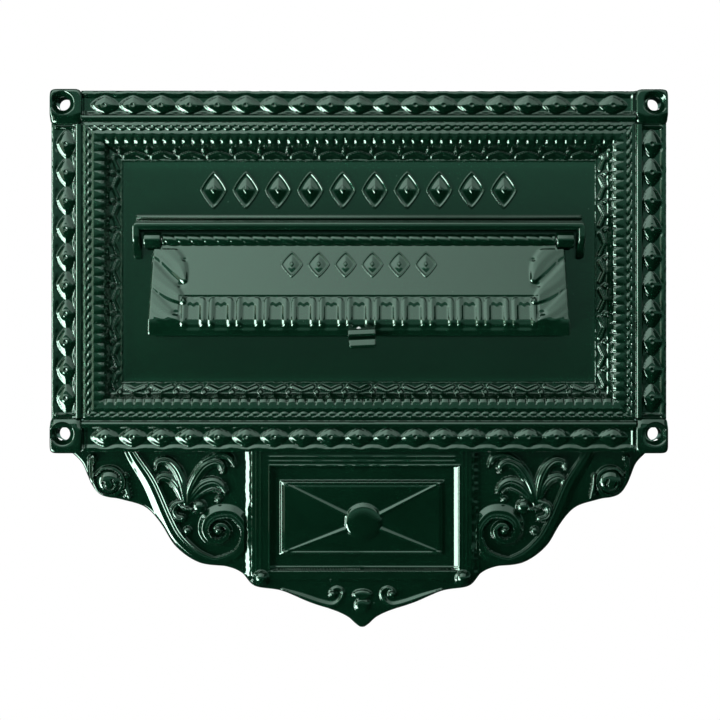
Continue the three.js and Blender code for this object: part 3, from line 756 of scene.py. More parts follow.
def scroll_side():
    """Right half of the scrollwork beside the pier, as a height field."""
    x, z, edge = crest_grid(PIER_X, CREST_HALF, 0.42, 190)
    rise = np.zeros(x.shape)
    for line, tall in LEAVES:
        across, along = across_path(x, z, line)
        vein = 0.5 * ridge(across, 0.0, 0.14) + 0.4 * ridge(np.abs(across), 0.5, 0.12)
        leaf = tall * crown(across, 2.0) * (0.7 + 0.3 * along) - vein * smooth(along, 0.1, 0.3)
        rise = np.maximum(rise, np.where(np.abs(across) < 1, leaf, 0))
    across, _ = across_path(x, z, SPUR)
    rise = np.maximum(rise, 3.0 * crown(across))
    for bx, bz, radius, tall in BUDS:
        rise = np.maximum(rise, tall * crown(np.hypot(x - bx, z - bz) / radius))
    big, along = across_path(x, z, BIG_VOLUTE_LEAD + spiral(BIG_VOLUTE), 420)
    tall = 2.0 + 1.2 * along
    rise = np.where(np.abs(big) < 1, volute_rise(big, tall, LIP_SIDE, 0.32), rise)
    cx, cz = BIG_VOLUTE["centre"]
    radius, tall = BIG_EYE
    rise = np.maximum(rise, tall * crown(np.hypot(x - cx, z - cz) / radius))
    small, _ = across_path(x, z, SMALL_VOLUTE_LEAD + spiral(SMALL_VOLUTE), 300)
    rise = np.where(np.abs(small) < 1, volute_rise(small, 2.0, LIP_SIDE, 0.2), rise)
    cx, cz, radius, tall = SMALL_DOME
    dome = tall * crown(np.hypot(x - cx, z - cz) / radius, 2.6)
    hook, _ = across_path(x, z, SMALL_HOOK, 120)
    rise = np.maximum(rise, dome - 1.3 * crown(hook))
    height = eased_edge(CREST_GROUND + rise, edge_distance(x, z, edge[::6]))
    return x, height, z


def tapered_rib(x, z, start, end):
    """A crease that stands up from the panel, narrow at the corner and wider at the boss."""
    path = [(*start, 0.8), (*((np.array(start) + np.array(end)) / 2), 1.25), (*end, 1.7)]
    across, along = across_path(x, z, path, 90)
    return 1.05 * np.clip(1 - np.abs(across), 0, 1) ** 0.8 * (0.6 + 0.4 * along)


def sunk_panel(x, z, rise):
    """The panel between the piers: sloping walls at its sides, steep ones above and below, and
    a raised core with four ribs that run in to a low boss."""
    ax = np.abs(x)
    side = (np.where(x < 0, PANEL_LEFT, PANEL_RIGHT) - ax) / WALL_WIDE
    level = np.minimum(z - PANEL_LOW_Z, PANEL_TOP_Z - z)
    inside = np.minimum(side * WALL_WIDE, level)
    rise = np.where(inside > -1.2, rise + 0.35 * ridge(inside, -0.5, 0.45), rise)
    walls = 0.30 + 2.6 * (1 - np.clip(np.minimum(side, level / 0.8), 0, 1)) ** 1.12
    walls += 0.5 * ridge(level, 1.9, 0.5) * (z < BOSS[1])
    rise = np.where(inside > 0, np.minimum(walls, rise), rise)
    core_x = CORE_HALF - ax
    core_z = np.minimum(z - CORE_LOW_Z, CORE_TOP_Z - z)
    core = np.minimum(core_x, core_z)
    edge_up = np.minimum(np.clip(core_x / 2.9, 0, 1), np.clip(core_z / 1.0, 0, 1))
    edge_up += 0.12 * ridge(core, 1.6, 0.5) - 0.15 * ridge(core, 2.8, 0.5)
    rise = np.where(core > 0, 0.3 + 1.8 * edge_up, rise)
    middle_z = (CORE_LOW_Z + CORE_TOP_Z) / 2
    for sx in (-1, 1):
        for sz in (-1, 1):
            start = (sx * 48.6, middle_z + sz * 21.6)
            end = (sx * 10.6 + BOSS[0], BOSS[1] + sz * 4.6)
            rise = rise + np.where(core > 1.8, tapered_rib(x, z, start, end), 0)
    r = np.hypot(x - BOSS[0], z - BOSS[1]) / BOSS_RADIUS
    return np.where(r < 1, np.maximum(rise, 1.9 + 2.1 * crown(r, 4.5)), rise)


def piers(ax, z, rise):
    """The two piers, each a long wavering slope on its outer side, with a knob at its foot."""
    waver = 0.3 * np.sin(z * 0.45) * np.sin(z * 0.13) + 0.10 * np.sin(z * 1.6)
    slope = 2.6 + 0.12 * np.sin(z * 0.9) - 1.2 * crown((z + 104) / 15)
    pier = 0.6 + 0.57 * np.clip(PIER_FOOT + waver - ax, 0, slope)
    pier += 0.09 * np.clip(PIER_FOOT + 0.4 - ax, 0, 5) - 0.9 * smooth(PIER_FACE - ax, 0, 1.6)
    above_knob = 1 - smooth(-z, 134, 137)
    front = np.maximum(pier, (ax < PIER_FACE) * rise)
    rise = np.where(ax > 67.0, front * above_knob + 0.6 * (1 - above_knob), rise)
    r = np.hypot(ax - KNOB[0], z - KNOB[1])
    knob = 1.2 * ridge(r, KNOB_RADIUS + 0.2, 0.6) + 6.6 * crown(r / KNOB_RADIUS)
    return np.where(r < KNOB_RADIUS + 1.3, np.maximum(rise, knob), rise)


def foot_ornament(x, z, rise):
    """The pair of scrolls under the panel, with the ringed bud and its cap between them."""
    ax = np.abs(x)
    across, _ = across_path(ax, z, FOOT_SCROLL)
    upper = np.clip(1 + across, 0, 1) ** 0.9
    crescent = 1.7 * np.minimum(upper, crown(np.clip(across, 0, 1), 3.0))
    rise = np.where(np.abs(across) < 1, np.maximum(rise, crescent), rise)
    end_x, end_z = FOOT_SCROLL_END
    rise = np.maximum(rise, 3.6 * crown(np.hypot(ax - end_x, z - end_z) / 2.6))
    r = np.hypot(x, z - BUD_Z)
    rise = np.maximum(rise, 0.7 * ridge(r, 5.1, 0.7) + 2.6 * crown(r / 4.9, 3.0))
    cap = np.hypot(x / 6.4, (z - CAP_Z) / 3.4)
    return np.maximum(rise, 2.6 * crown(cap, 3.4))


def crest_middle():
    """The middle of the crest: piers, sunk panel with its boss, and the foot scrolls."""
    half_x, half_z, edge = crest_grid(0.0, PIER_X, 0.45, 205)
    x = np.concatenate([-half_x[:0:-1], half_x])
    z = np.concatenate([half_z[:0:-1], half_z])
    ax = np.abs(x)
    # the ground falls away below the knobs
    rise = 2.9 - 2.3 * smooth(-z, 135.5, 138.5)
    # reeds round the sunk panel
    for reed in (65.2, 62.6):
        rise += 0.3 * ridge(ax, reed, 0.55) * (1 - smooth(-z, 133, 135))
    for reed in (-60.6, -63.4):
        rise += 0.3 * ridge(z, reed, 0.55) * (ax < 58)
    rise = sunk_panel(x, z, rise)
    rise = piers(ax, z, rise)
    rise = foot_ornament(x, z, rise)
    height = eased_edge(CREST_GROUND + rise, edge_distance(ax, z, edge[::6]))
    return x, height, z


# ---- flap ----
def offset_line(line, distance):
    """The line moved sideways, towards the back of the flap."""
    tangent = np.gradient(line, axis=0)
    tangent /= np.linalg.norm(tangent, axis=1)[:, None]
    sideways = np.stack([tangent[:, 1], -tangent[:, 0]], axis=1)
    return line + sideways * np.reshape(distance, (-1, 1))


def tongue_rise(x, z):
    """Fluted band of notched tongues in a sunk strip, with narrow darts between them."""
    number = np.clip(np.round(x / TONGUE_PITCH), -(TONGUES // 2), TONGUES // 2)
    a = np.abs(x - number * TONGUE_PITCH)
    top = 38.0 - 0.7 * ridge(a, 0, 1.4) - 2.8 * smooth(a, 5.0, 8.2) ** 2
    step = smooth(z, top, top - 1.1)
    fade = smooth(z, 18.4, 21.4)
    lump = 0.5 + 0.5 * ridge(z, 22.4, 2.4)
    sides = 0.35 * smooth(8.1 - a, 0, 1.0) + lump * ridge(a, 5.9, 1.5)
    heart_top = 35.8 - 1.4 * ridge(a, 0, 1.3) - 1.6 * smooth(a, 1.8, 4.4)
    sunk = smooth(4.7 - a, 0, 1.5) * smooth(z, heart_top, heart_top - 3.2)
    dart = 0.35 * ridge(a, TONGUE_PITCH / 2, 0.30) * smooth(37.0 - z, 0, 1.0)
    strip = 0.50 * smooth(z, 38.9, 38.3)
    inside = np.abs(x) < (TONGUES / 2) * TONGUE_PITCH + 0.4
    slow = smooth(z, 14.6, 23.0)
    raised = (sides * step + dart) * fade
    return np.where(inside, raised - (0.45 * sunk * step + strip) * slow, 0)


# Lobes of the leaf end as [x, z, half width], lowest first, and how far each one stands up.
PETALS = [
    ([(128.0, 38, 7.0), (122, 31, 7.0), (115.0, 25.5, 5.6), (108.5, 21.5, 2.6)], 0.7),
    ([(128.5, 55, 7.5), (121.5, 47, 7.6), (113.5, 40.5, 6.0), (106.8, 35.0, 2.2)], 1.0),
    ([(127.0, 71, 8.0), (118, 65, 8.2), (111, 57, 7.0), (106.6, 48.5, 2.4)], 1.2),
]
EYES = [(108.4, 45.4, 2.0), (111.6, 28.0, 1.9), (107.0, 61.0, 1.3)]


def leaf_end_rise(x, z):
    """Drooping leaf lobes over each end of the flap; the upper lobes lie over the lower ones."""
    ax = np.abs(x)
    rise = np.zeros(ax.shape)
    for line, tall in PETALS:
        across, along = across_path(ax, z, line, 120)
        folds = 0.13 * np.cos(across * 4.0 + 0.8) + 0.05 * np.sin(across * 8.5 + along * 4)
        lobe = tall * (0.35 + 0.35 * crown(across, 2.2)) + folds * crown(across, 4)
        lobe += 0.45 * smooth(along, 0.55, 1.0) * crown(across)
        edge = smooth(1 - np.abs(across), 0, 0.45)
        rise = np.where(np.abs(across) < 1, np.maximum(lobe * edge, rise * (1 - edge)), rise)
    for ex, ez, radius in EYES:
        rise -= 0.7 * ridge(np.hypot(ax - ex, (z - ez) * 1.4), 0, radius)
    fade = smooth(z, 19.0, 25.5) * (1 - smooth(z, 66.5, 68.5) * 0.7)
    return rise * fade * smooth(ax, 100.0, 106.0)


def flap_half(z):
    """Half width of the flap, which widens a little towards its lower edge."""
    return np.interp(z, [FLAP_EDGE_Z, NOTCH_Z], [FLAP_LOW_HALF, FLAP_TOP_HALF])


def flap_skin():
    """Hollow flap shell with its relief and a cheek at each end."""
    outer = even_line(catmull(FLAP_FACE, 400), 130)
    wide = np.arange(-1, 1.0001, 0.00430)
    cheek = 1 - FLAP_CHEEK / FLAP_LOW_HALF
    fine_ends = np.concatenate([1 - np.array([0, 0.0006, 0.0016, 0.0032, 0.006]), [cheek]])
    share = np.unique(np.round(np.concatenate([wide, fine_ends, -fine_ends]), 5))
    share = np.sort(np.concatenate([share, [cheek + 1e-6, -cheek - 1e-6]]))
    inner_open = even_line(offset_line(outer, FLAP_WALL)[::-1], 20)
    inner_cheek = even_line(CHEEK_BACK, 20)
    along_face = np.linspace(0, 1, len(outer))
    loops = []
    for u in share:
        middle = abs(u) * FLAP_TOP_HALF
        start_z = np.interp(middle, [NOTCH_HALF, NOTCH_HALF + 1], [outer[0, 1], NOTCH_Z])
        start_z -= 1.3 * float(smooth(middle, 125.0, 127.0))
        start = np.interp(-start_z, -outer[:, 1], along_face)
        here = start + (1 - start) * along_face
        h = np.interp(here, along_face, outer[:, 0])
        z = np.interp(here, along_face, outer[:, 1])
        half = flap_half(z)
        x = u * half
        line = np.stack([h, z], axis=1)
        rise = tongue_rise(x, z) + leaf_end_rise(x, z)
        edge = 1 - crown(1 - np.clip((half - np.abs(x)) / FLAP_RIM, 0, 1))
        line = offset_line(line, FLAP_RIM * edge - rise)
        closed_end = abs(u) >= cheek + 5e-7
        back = inner_cheek if closed_end else inner_open
        full = np.vstack([line, back])
        xs = np.concatenate([x, u * flap_half(back[:, 1])])
        loops.append(np.stack([xs, full[:, 0], full[:, 1]], axis=1))
    return loft(np.array(loops))


def roll_skin():
    """Rope-twisted roll along the top of the flap."""
    x = np.arange(-ROLL_HALF, ROLL_HALF + 0.01, 0.55)
    angle = np.linspace(0, 2 * np.pi, 56, endpoint=False)
    grid_x, grid_a = np.meshgrid(x, angle, indexing="ij")
    strand = np.abs(np.sin(2 * np.pi * grid_x / ROPE_LEAD + grid_a))
    radius = ROLL_RADIUS - ROPE_DEPTH * (1 - strand) ** 2.4
    end = ROLL_HALF - np.abs(grid_x)
    radius = radius - 0.7 * (1 - crown(1 - np.clip(end / 0.8, 0, 1)))
    height = HINGE_HEIGHT + radius * np.cos(grid_a)
    z = HINGE_Z + radius * np.sin(grid_a)
    return loft(np.stack([grid_x, height, z], axis=-1))


def pull_skin():
    """Finger pull: a pad on the flap with a lip below it, a little crooked as fitted."""
    section = even_line(catmull(PULL_SECTION, 200), 64)
    half = (PULL_HIGH.x - PULL_LOW.x) / 2
    loops = []
    for u in np.concatenate([[-1, -0.99, -0.97, -0.94], np.linspace(-0.9, 0.9, 13),
                             [0.94, 0.97, 0.99, 1]]):
        ease = 0.9 * (1 - float(crown(1 - min((1 - abs(u)) / 0.1, 1))))
        centre = section.mean(0)
        shape = centre + (section - centre) * (1 - ease * 0.16)
        shape[:, 0] = np.where(section[:, 0] < PULL_ROOT, section[:, 0], shape[:, 0])
        lower = np.clip((PULL_TOP_Z - shape[:, 1]) / (PULL_TOP_Z - PULL_LOW_Z), 0, 1)
        x = PULL_SHIFT + u * half + max(-u, 0) * PULL_SPREAD * lower
        z = shape[:, 1] + u * PULL_TILT
        loops.append(np.stack([x, shape[:, 0], z], axis=1))
    return loft(np.array(loops))


# ---- hinge ----
def lug_skin(side):
    """Round knuckle on a square foot, its ends eased."""
    turn = np.linspace(-math.radians(118), math.radians(118), 61)
    centre = np.array([HINGE_HEIGHT, HINGE_Z])
    arc = centre + LUG_RADIUS * np.stack([np.cos(turn), np.sin(turn)], axis=1)
    low = FIELD_HEIGHT - 0.3
    foot = [(low, HINGE_Z + LUG_FOOT_HALF), (low, HINGE_Z - LUG_FOOT_HALF)]
    section = np.vstack([arc, foot])
    near, far = LUG_LOW.x, LUG_HIGH.x
    loops = []
    for end, sign in ((near, 1), (far, -1)):
        steps = [0, 0.05, 0.15, 0.35, 0.7, LUG_EASE]
        for step in steps if sign > 0 else steps[::-1]:
            ease = 0.24 * (1 - float(crown(1 - min(step / LUG_EASE, 1))))
            shape = centre + (section - centre) * (1 - ease)
            shape[-2:] = section[-2:]
            x = np.full(len(shape), side * (end + sign * step))
            loops.append(np.stack([x, shape[:, 0], shape[:, 1]], axis=1))
    return loft(np.array(loops))


# ---- finishes ----
class Value:
    """A shader socket that + - * > and < work on; each adds one Math node."""

    def __init__(self, nodes, socket):
        self.nodes = nodes
        self.socket = socket

    def math(self, operation, other, first=False):
        """The result of a Math node; first puts the other value before this one."""
        values = [other, self] if first else [self, other]
        node = self.nodes.node("ShaderNodeMath", {"operation": operation},
                               dict(enumerate(values)))
        return Value(self.nodes, node.outputs[0])

    def __add__(self, other):
        return self.math("ADD", other)

    def __radd__(self, other):
        return self.math("ADD", other, first=True)

    def __sub__(self, other):
        return self.math("SUBTRACT", other)

    def __rsub__(self, other):
        return self.math("SUBTRACT", other, first=True)

    def __mul__(self, other):
        return self.math("MULTIPLY", other)

    def __rmul__(self, other):
        return self.math("MULTIPLY", other, first=True)

    def __gt__(self, other):
        return self.math("GREATER_THAN", other)

    def __lt__(self, other):
        return self.math("LESS_THAN", other)


class Nodes:
    """A node tree whose nodes are made by one method."""

    def __init__(self, tree):
        self.tree = tree

    def node(self, kind, settings, sockets):
        """Adds a node: first its settings, such as an operation or a ramp's stops, then its
        sockets' values or links."""
        made = self.tree.nodes.new(kind)
        for key, value in settings.items():
            if key == "stops":
                ramp = made.color_ramp
                while len(ramp.elements) < len(value):
                    ramp.elements.new(1)
                for element, (position, colour) in zip(ramp.elements, value):
                    element.position = position
                    element.color = (*colour, 1)
            else:
                setattr(made, key, value)
        for key, value in sockets.items():
            if isinstance(value, Value):
                value = value.socket
            if isinstance(value, bpy.types.NodeSocket):
                self.tree.links.new(value, made.inputs[key])
            else:
                made.inputs[key].default_value = value
        return made

    def value(self, node, output=0):
        """One output of a node, ready for arithmetic."""
        return Value(self, node.outputs[output])

    def axis(self, vector, name):
        """The X, Y or Z of a vector."""
        node = self.node("ShaderNodeSeparateXYZ", {}, {"Vector": vector})
        return self.value(node, name)


class Finish(Nodes):
    """A material with one Principled shader; fixed holds what is the same all over it."""

    def __init__(self, name, fixed):
        self.material = bpy.data.materials.new(name)
        self.material.use_nodes = True
        super().__init__(self.material.node_tree)
        self.tree.nodes.clear()
        self.shader = self.node("ShaderNodeBsdfPrincipled", {}, fixed)
        self.node("ShaderNodeOutputMaterial", {}, {"Surface": self.shader.outputs["BSDF"]})
        self.place = self.node("ShaderNodeTexCoord", {}, {})

    def noise(self, scale, detail=3.0, roughness=0.5, vector=None, distortion=0.0):
        """Noise from 0 to 1; scale is in repeats per metre."""
        vector = vector or self.place.outputs["Object"]
        node = self.node("ShaderNodeTexNoise", {}, {
            "Vector": vector, "Scale": scale, "Detail": detail, "Roughness": roughness,
            "Distortion": distortion})
        return self.value(node, "Fac")

    def ramp(self, value, low, high):
        """0 below low and 1 above high."""
        node = self.node("ShaderNodeMapRange", {"interpolation_type": "SMOOTHSTEP"}, {
            "Value": value, "From Min": low, "From Max": high, "To Min": 0.0, "To Max": 1.0})
        return self.value(node)

    def mix(self, share, first, second):
        """Colour mix; each side is a colour or a link."""
        sockets = {0: share, 6: self.colour(first), 7: self.colour(second)}
        node = self.node("ShaderNodeMix", {"data_type": "RGBA"}, sockets)
        return node.outputs[2]

    def colour(self, value):
        """A link as it is, or a colour with its alpha."""
        if isinstance(value, (bpy.types.NodeSocket, Value)):
            return value
        return (*value, 1.0)

    def feed(self, **links):
        """Links what varies over the surface to the shader's sockets."""
        for name, value in links.items():
            socket = value.socket if isinstance(value, Value) else value
            self.tree.links.new(socket, self.shader.inputs[name.replace("_", " ")])

    def bump(self, height, strength, distance, under=None):
        """The normal over a relief, laid over another normal if there is one."""
        sockets = {"Height": height, "Strength": strength, "Distance": distance}
        if under is not None:
            sockets["Normal"] = under
        return self.node("ShaderNodeBump", {}, sockets).outputs["Normal"]


def enamel(name, looks, painted_light_factor):
    """Deep gloss enamel over a sand casting, with painted shade darkening the hollows and a
    painted highlight lightening the edges; it has orange peel, a few dust specks and a thinner,
    duller coat on the back."""
    finish = Finish(name, {
        "IOR": 1.5, "Specular IOR Level": 0.5, "Specular Tint": (0.30, 1.0, 0.64, 1.0),
        "Coat Weight": 1.0, "Coat Roughness": 0.03, "Coat IOR": 1.5})
    geometry = finish.node("ShaderNodeNewGeometry", {}, {})
    pointed = finish.value(geometry, "Pointiness")
    # painted highlight: this mask picks out sharp convex edges, which are given a lighter enamel
    edge = finish.ramp(pointed, 0.505, 0.60)
    # painted shade: this mask picks out the hollows, which are given a darker enamel
    hollow = finish.ramp(pointed, 0.495, 0.42)
    cloud = finish.noise(22, 4, 0.55)
    mottle = finish.noise(160, 3, 0.6)
    # painted light: every colour is scaled by the part's factor, so the flap and the pull come out
    # lighter than the plate
    body = [channel * painted_light_factor for channel in looks.enamel_colour]
    # darker colour for the random mottle and for the painted shade in the hollows
    mottle_and_shade = [channel * painted_light_factor for channel in looks.mottle_and_shade_colour]
    # thin holds the lighter colour of the painted highlight on the edges
    thin = [channel * painted_light_factor for channel in looks.edge_highlight_colour]
    colour = finish.mix(finish.ramp(cloud, 0.3, 0.7) * 0.6, body, [c * 1.35 for c in body])
    colour = finish.mix(finish.ramp(mottle, 0.42, 0.72) * 0.35, colour, mottle_and_shade)
    # painted shade: the darker colour is laid into the hollows
    colour = finish.mix(hollow * 0.85, colour, mottle_and_shade)
    # painted highlight: the lighter colour is laid along the edges
    colour = finish.mix(edge * 0.7, colour, thin)
    cells = finish.node("ShaderNodeTexVoronoi", {"feature": "F1"}, {
        "Vector": finish.place.outputs["Object"], "Scale": 210.0, "Randomness": 1.0})
    near = finish.value(cells, "Distance")
    chosen = finish.axis(cells.outputs["Color"], "X") > 0.93
    speck = (1 - finish.ramp(near, 0.03, 0.09)) * chosen
    colour = finish.mix(speck * 0.5, colour, looks.dust_colour)
    facing = finish.axis(finish.place.outputs["Normal"], "Y")
    behind = finish.ramp(facing, 0.25, 0.6)
    colour = finish.mix(behind * 0.75, colour, looks.back_colour)
    scuffs = finish.noise(70, 6, 0.7, distortion=0.6)
    rough = 0.10 + 0.05 * finish.ramp(cloud, 0.35, 0.7) + 0.35 * speck + 0.04 * edge
    rough = rough + behind * (0.30 + 0.2 * scuffs)
    peel = finish.noise(330, 2, 0.5)
    wave = finish.noise(75, 2, 0.5)
    sand = finish.noise(900, 4, 0.7)
    relief = finish.bump(wave, 0.10 * looks.peel, 0.0006)
    relief = finish.bump(peel, 0.16 * looks.peel, 0.0002, relief)
    relief = finish.bump(sand * behind + speck * 0.4, 0.5, 0.0003, relief)
    finish.feed(Base_Color=colour, Roughness=rough, Normal=relief,
                Coat_Weight=1 - behind * 0.85)
    return finish.material


def steel(name, looks):
    """Zinc-plated steel with fine turning marks and a trace of tarnish."""
    finish = Finish(name, {"IOR": 2.4})
    vector = finish.place.outputs["Object"]
    stretch = finish.node("ShaderNodeMapping", {}, {"Vector": vector, "Scale": (1.0, 1.0, 6.0)})
    lines = finish.noise(900, 4, 0.6, stretch.outputs["Vector"])
    stain = finish.noise(260, 4, 0.6)
    tarnish = [channel * 0.45 for channel in looks.steel_colour]
    colour = finish.mix(finish.ramp(stain, 0.5, 0.75) * 0.7, looks.steel_colour, tarnish)
    rough = 0.24 + 0.22 * lines + 0.2 * finish.ramp(stain, 0.5, 0.75)
    finish.feed(Base_Color=colour, Roughness=rough,
                Metallic=1 - 0.3 * finish.ramp(stain, 0.55, 0.8),
                Normal=finish.bump(lines, 0.25, 0.0001))
    return finish.material


# Painted light: how much lighter the same enamel is made on each part than on the plate.
ENAMEL_PAINTED_LIGHT = {"plate": 1.0, "flap": 1.12, "pull": 1.05}


def finishes(context):
    """The finishes, made once and found by name afterwards."""
    looks = context.scene.letter_plate_looks
    known = bpy.data.materials
    found = {}
    for part, painted_light_factor in ENAMEL_PAINTED_LIGHT.items():
        name = f"{part}_enamel_finish"
        found[part] = known.get(name) or enamel(name, looks, painted_light_factor)
    found["steel"] = known.get("plated_steel_finish") or steel("plated_steel_finish", looks)
    return found


# ---- what a user may change ----
def colour_choice(name, description, default):
    """A colour in the sidebar."""
    return FloatVectorProperty(name=name, description=description, subtype="COLOR", size=3,
                               min=0, max=1, default=default)


class LetterPlateLooks(PropertyGroup):
    enamel_colour: colour_choice(
        "Enamel", "Colour of the enamel on flat parts", (0.0010, 0.0088, 0.0040))
    # Painted shade laid into the hollows; the same darker colour also gives the random mottle.
    mottle_and_shade_colour: colour_choice(
        "Pooled enamel", "Colour where the enamel lies thick", (0.0004, 0.0042, 0.0019))
    # Painted highlight laid along the sharp edges.
    edge_highlight_colour: colour_choice(
        "Thin enamel", "Colour where the enamel thins on an edge", (0.0028, 0.0210, 0.0108))
    back_colour: colour_choice(
        "Back", "Colour of the thin, dull coat on the back", (0.012, 0.020, 0.017))
    dust_colour: colour_choice(
        "Dust", "Colour of the specks caught in the enamel", (0.10, 0.16, 0.13))
    steel_colour: colour_choice(
        "Steel", "Colour of the screws and the rod", (0.55, 0.56, 0.55))
    peel: FloatProperty(
        name="Orange peel", description="How strongly the gloss ripples", min=0, max=4,
        default=1.0, subtype="FACTOR")


class LetterPlateStudio(PropertyGroup):
    eye_distance: FloatProperty(
        name="Camera distance", description="From the wall to the camera", unit="LENGTH",
        min=0.3, max=4, default=0.95)
    lens: FloatProperty(
        name="Lens", description="Focal length", unit="CAMERA", min=20, max=200, default=76.0)
    overhead: FloatProperty(
        name="Overhead light", description="Power of the softbox above", unit="POWER", min=0,
        default=31.0)
    side: FloatProperty(
        name="Side light", description="Power of the lights on the left", unit="POWER",
        min=0, default=13.0)
    floor_drop: FloatProperty(
        name="Floor", description="How far the floor lies below the plate's middle",
        unit="LENGTH", min=0.2, max=3, default=0.62)


# ---- operators ----
def add_to_plate(context, skins):
    """Makes the enamelled pieces that stand for the front plate."""
    enamelled = finishes(context)["plate"]
    for name, skin in skins.items():
        add_piece(name, skin, "plate", enamelled, ["front_plate"])


class LETTERPLATE_OT_rails(Operator):
    """Builds the four moulded rails of the frame"""
    bl_idname = "letter_plate.rails"
    bl_label = "Frame rails"

    def execute(self, context):
        long = rail_skin(RAIL_HALF, DIAMONDS_PER_RAIL, BLOCK_WIDE)
        short = rail_skin(STILE_HALF, DIAMONDS_PER_STILE, BLOCK_TALL)
        rails = {"top": long, "bottom": long, "left": short, "right": short}
        add_to_plate(context, {
            f"rail_{side}": rail_points(side, *rail) for side, rail in rails.items()})
        return {"FINISHED"}


class LETTERPLATE_OT_blocks(Operator):
    """Builds the four corner blocks with their countersunk screw holes"""
    bl_idname = "letter_plate.blocks"
    bl_label = "Corner blocks"

    def execute(self, context):
        add_to_plate(context, {
            f"corner_block_{row}_{column}": corner_block(sx, sz)
            for row, sz in (("top", 1), ("bottom", -1))
            for column, sx in (("left", -1), ("right", 1))})
        return {"FINISHED"}


class LETTERPLATE_OT_field(Operator):
    """Builds the flat field with its letter slot, the row of lozenges, the hood and ledge"""
    bl_idname = "letter_plate.field"
    bl_label = "Field and hood"

    def execute(self, context):
        add_to_plate(context, {
            "field": field_skin(), "field_lozenges": lozenge_row(FIELD_ROW, on_field),
            "hood": hood_skin(), "hood_ledge": ledge_skin()})
        return {"FINISHED"}


class LETTERPLATE_OT_crest(Operator):
    """Builds the crest under the frame: two scrolled sides and the panelled middle"""
    bl_idname = "letter_plate.crest"
    bl_label = "Crest"

    def execute(self, context):
        side = scroll_side()
        add_to_plate(context, {
            "crest_scroll_left": crest_skin(*side, -1), "crest_scroll_right": crest_skin(*side, 1),
            "crest_panel": crest_skin(*crest_middle(), 1)})
        return {"FINISHED"}


class LETTERPLATE_OT_flap(Operator):
    """Builds the flap: its hollow shell, the rope roll at its top and the row of lozenges"""
    bl_idname = "letter_plate.flap"
    bl_label = "Flap"

    def execute(self, context):
        stuff = finishes(context)
        skins = {
            "flap_shell": flap_skin(), "flap_roll": roll_skin(),
            "flap_lozenges": lozenge_row(FLAP_ROW, on_flap),
        }
        for name, skin in skins.items():
            add_piece(name, skin, "flap", stuff["flap"], ["flap"])
        add_piece("flap_finger_pull", pull_skin(), "flap", stuff["pull"],
                  ["finger_pull"])
        return {"FINISHED"}


class LETTERPLATE_OT_hinge(Operator):
    """Builds the hinge lugs and the screws, and plates the rod"""
    bl_idname = "letter_plate.hinge"
    bl_label = "Hinge and screws"

    def execute(self, context):
        stuff = finishes(context)
        frame["nodes"]["hinge_rod"].data.materials.clear()
        frame["nodes"]["hinge_rod"].data.materials.append(stuff["steel"])
        for name, side in (("left", -1), ("right", 1)):
            add_piece(f"lug_{name}", lug_skin(side), "plate", stuff["plate"],
                      [f"hinge_lug_{name}"])
            x = side * (LUG_LOW.x + LUG_HIGH.x) / 2
            screw = turned(LUG_SCREW, x, HINGE_Z, LUG_SCREW_SLOT)
            add_piece(f"lug_screw_steel_{name}", screw, "plate", stuff["steel"],
                      [f"lug_screw_{name}"])
        screw = turned(PULL_SCREW, 0, PULL_SCREW_Z, PULL_SCREW_SLOT)
        add_piece("pull_screw_steel", screw, "flap", stuff["steel"],
                  ["pull_screw"])
        return {"FINISHED"}


# Brightness of the room by height: 0 is straight down, 0.5 level and 1 straight up.
ROOM_BAND = [(0.0, 0.01), (0.46, 0.012), (0.565, 0.42), (0.62, 0.42), (0.70, 0.06), (1.0, 0.10)]
ROOM_TINT = (0.55, 1.0, 0.84)
EYE_X = 0.0007
EYE_Z = -0.0005
FLOOR_RADIUS = 1.15
WHITE = (1.0, 1.0, 1.0)
WARM = (1.0, 0.93, 0.82)
# Share of the light's length where the fade starts and ends, and the strength before and after.
OVERHEAD_FADE = {"From Min": 0.34, "From Max": 0.66, "To Min": 1.42, "To Max": 0.58}


def fade_along(data, fade):
    """Makes an area light brighter at one end than at the other."""
    data.use_nodes = True
    emission = next(node for node in data.node_tree.nodes if node.type == "EMISSION")
    nodes = Nodes(data.node_tree)
    geometry = nodes.node("ShaderNodeNewGeometry", {}, {})
    along = nodes.axis(geometry.outputs["Parametric"], "X")
    share = nodes.node("ShaderNodeMapRange", {}, {"Value": along, **fade})
    data.node_tree.links.new(share.outputs[0], emission.inputs["Strength"])


def soft_light(name, place, aim, size, power, colour=WHITE, fade=None):
    """A rectangular softbox at one place, turned to face another."""
    data = bpy.data.lights.new(name, "AREA")
    data.shape = "RECTANGLE"
    data.size, data.size_y = size
    data.energy = power
    data.color = colour
    if fade:
        fade_along(data, fade)
    light = bpy.data.objects.new(name, data)
    bpy.context.scene.collection.objects.link(light)
    light.location = place
    light.rotation_mode = "QUATERNION"
    light.rotation_quaternion = (Vector(aim) - Vector(place)).to_track_quat("-Z", "Y")


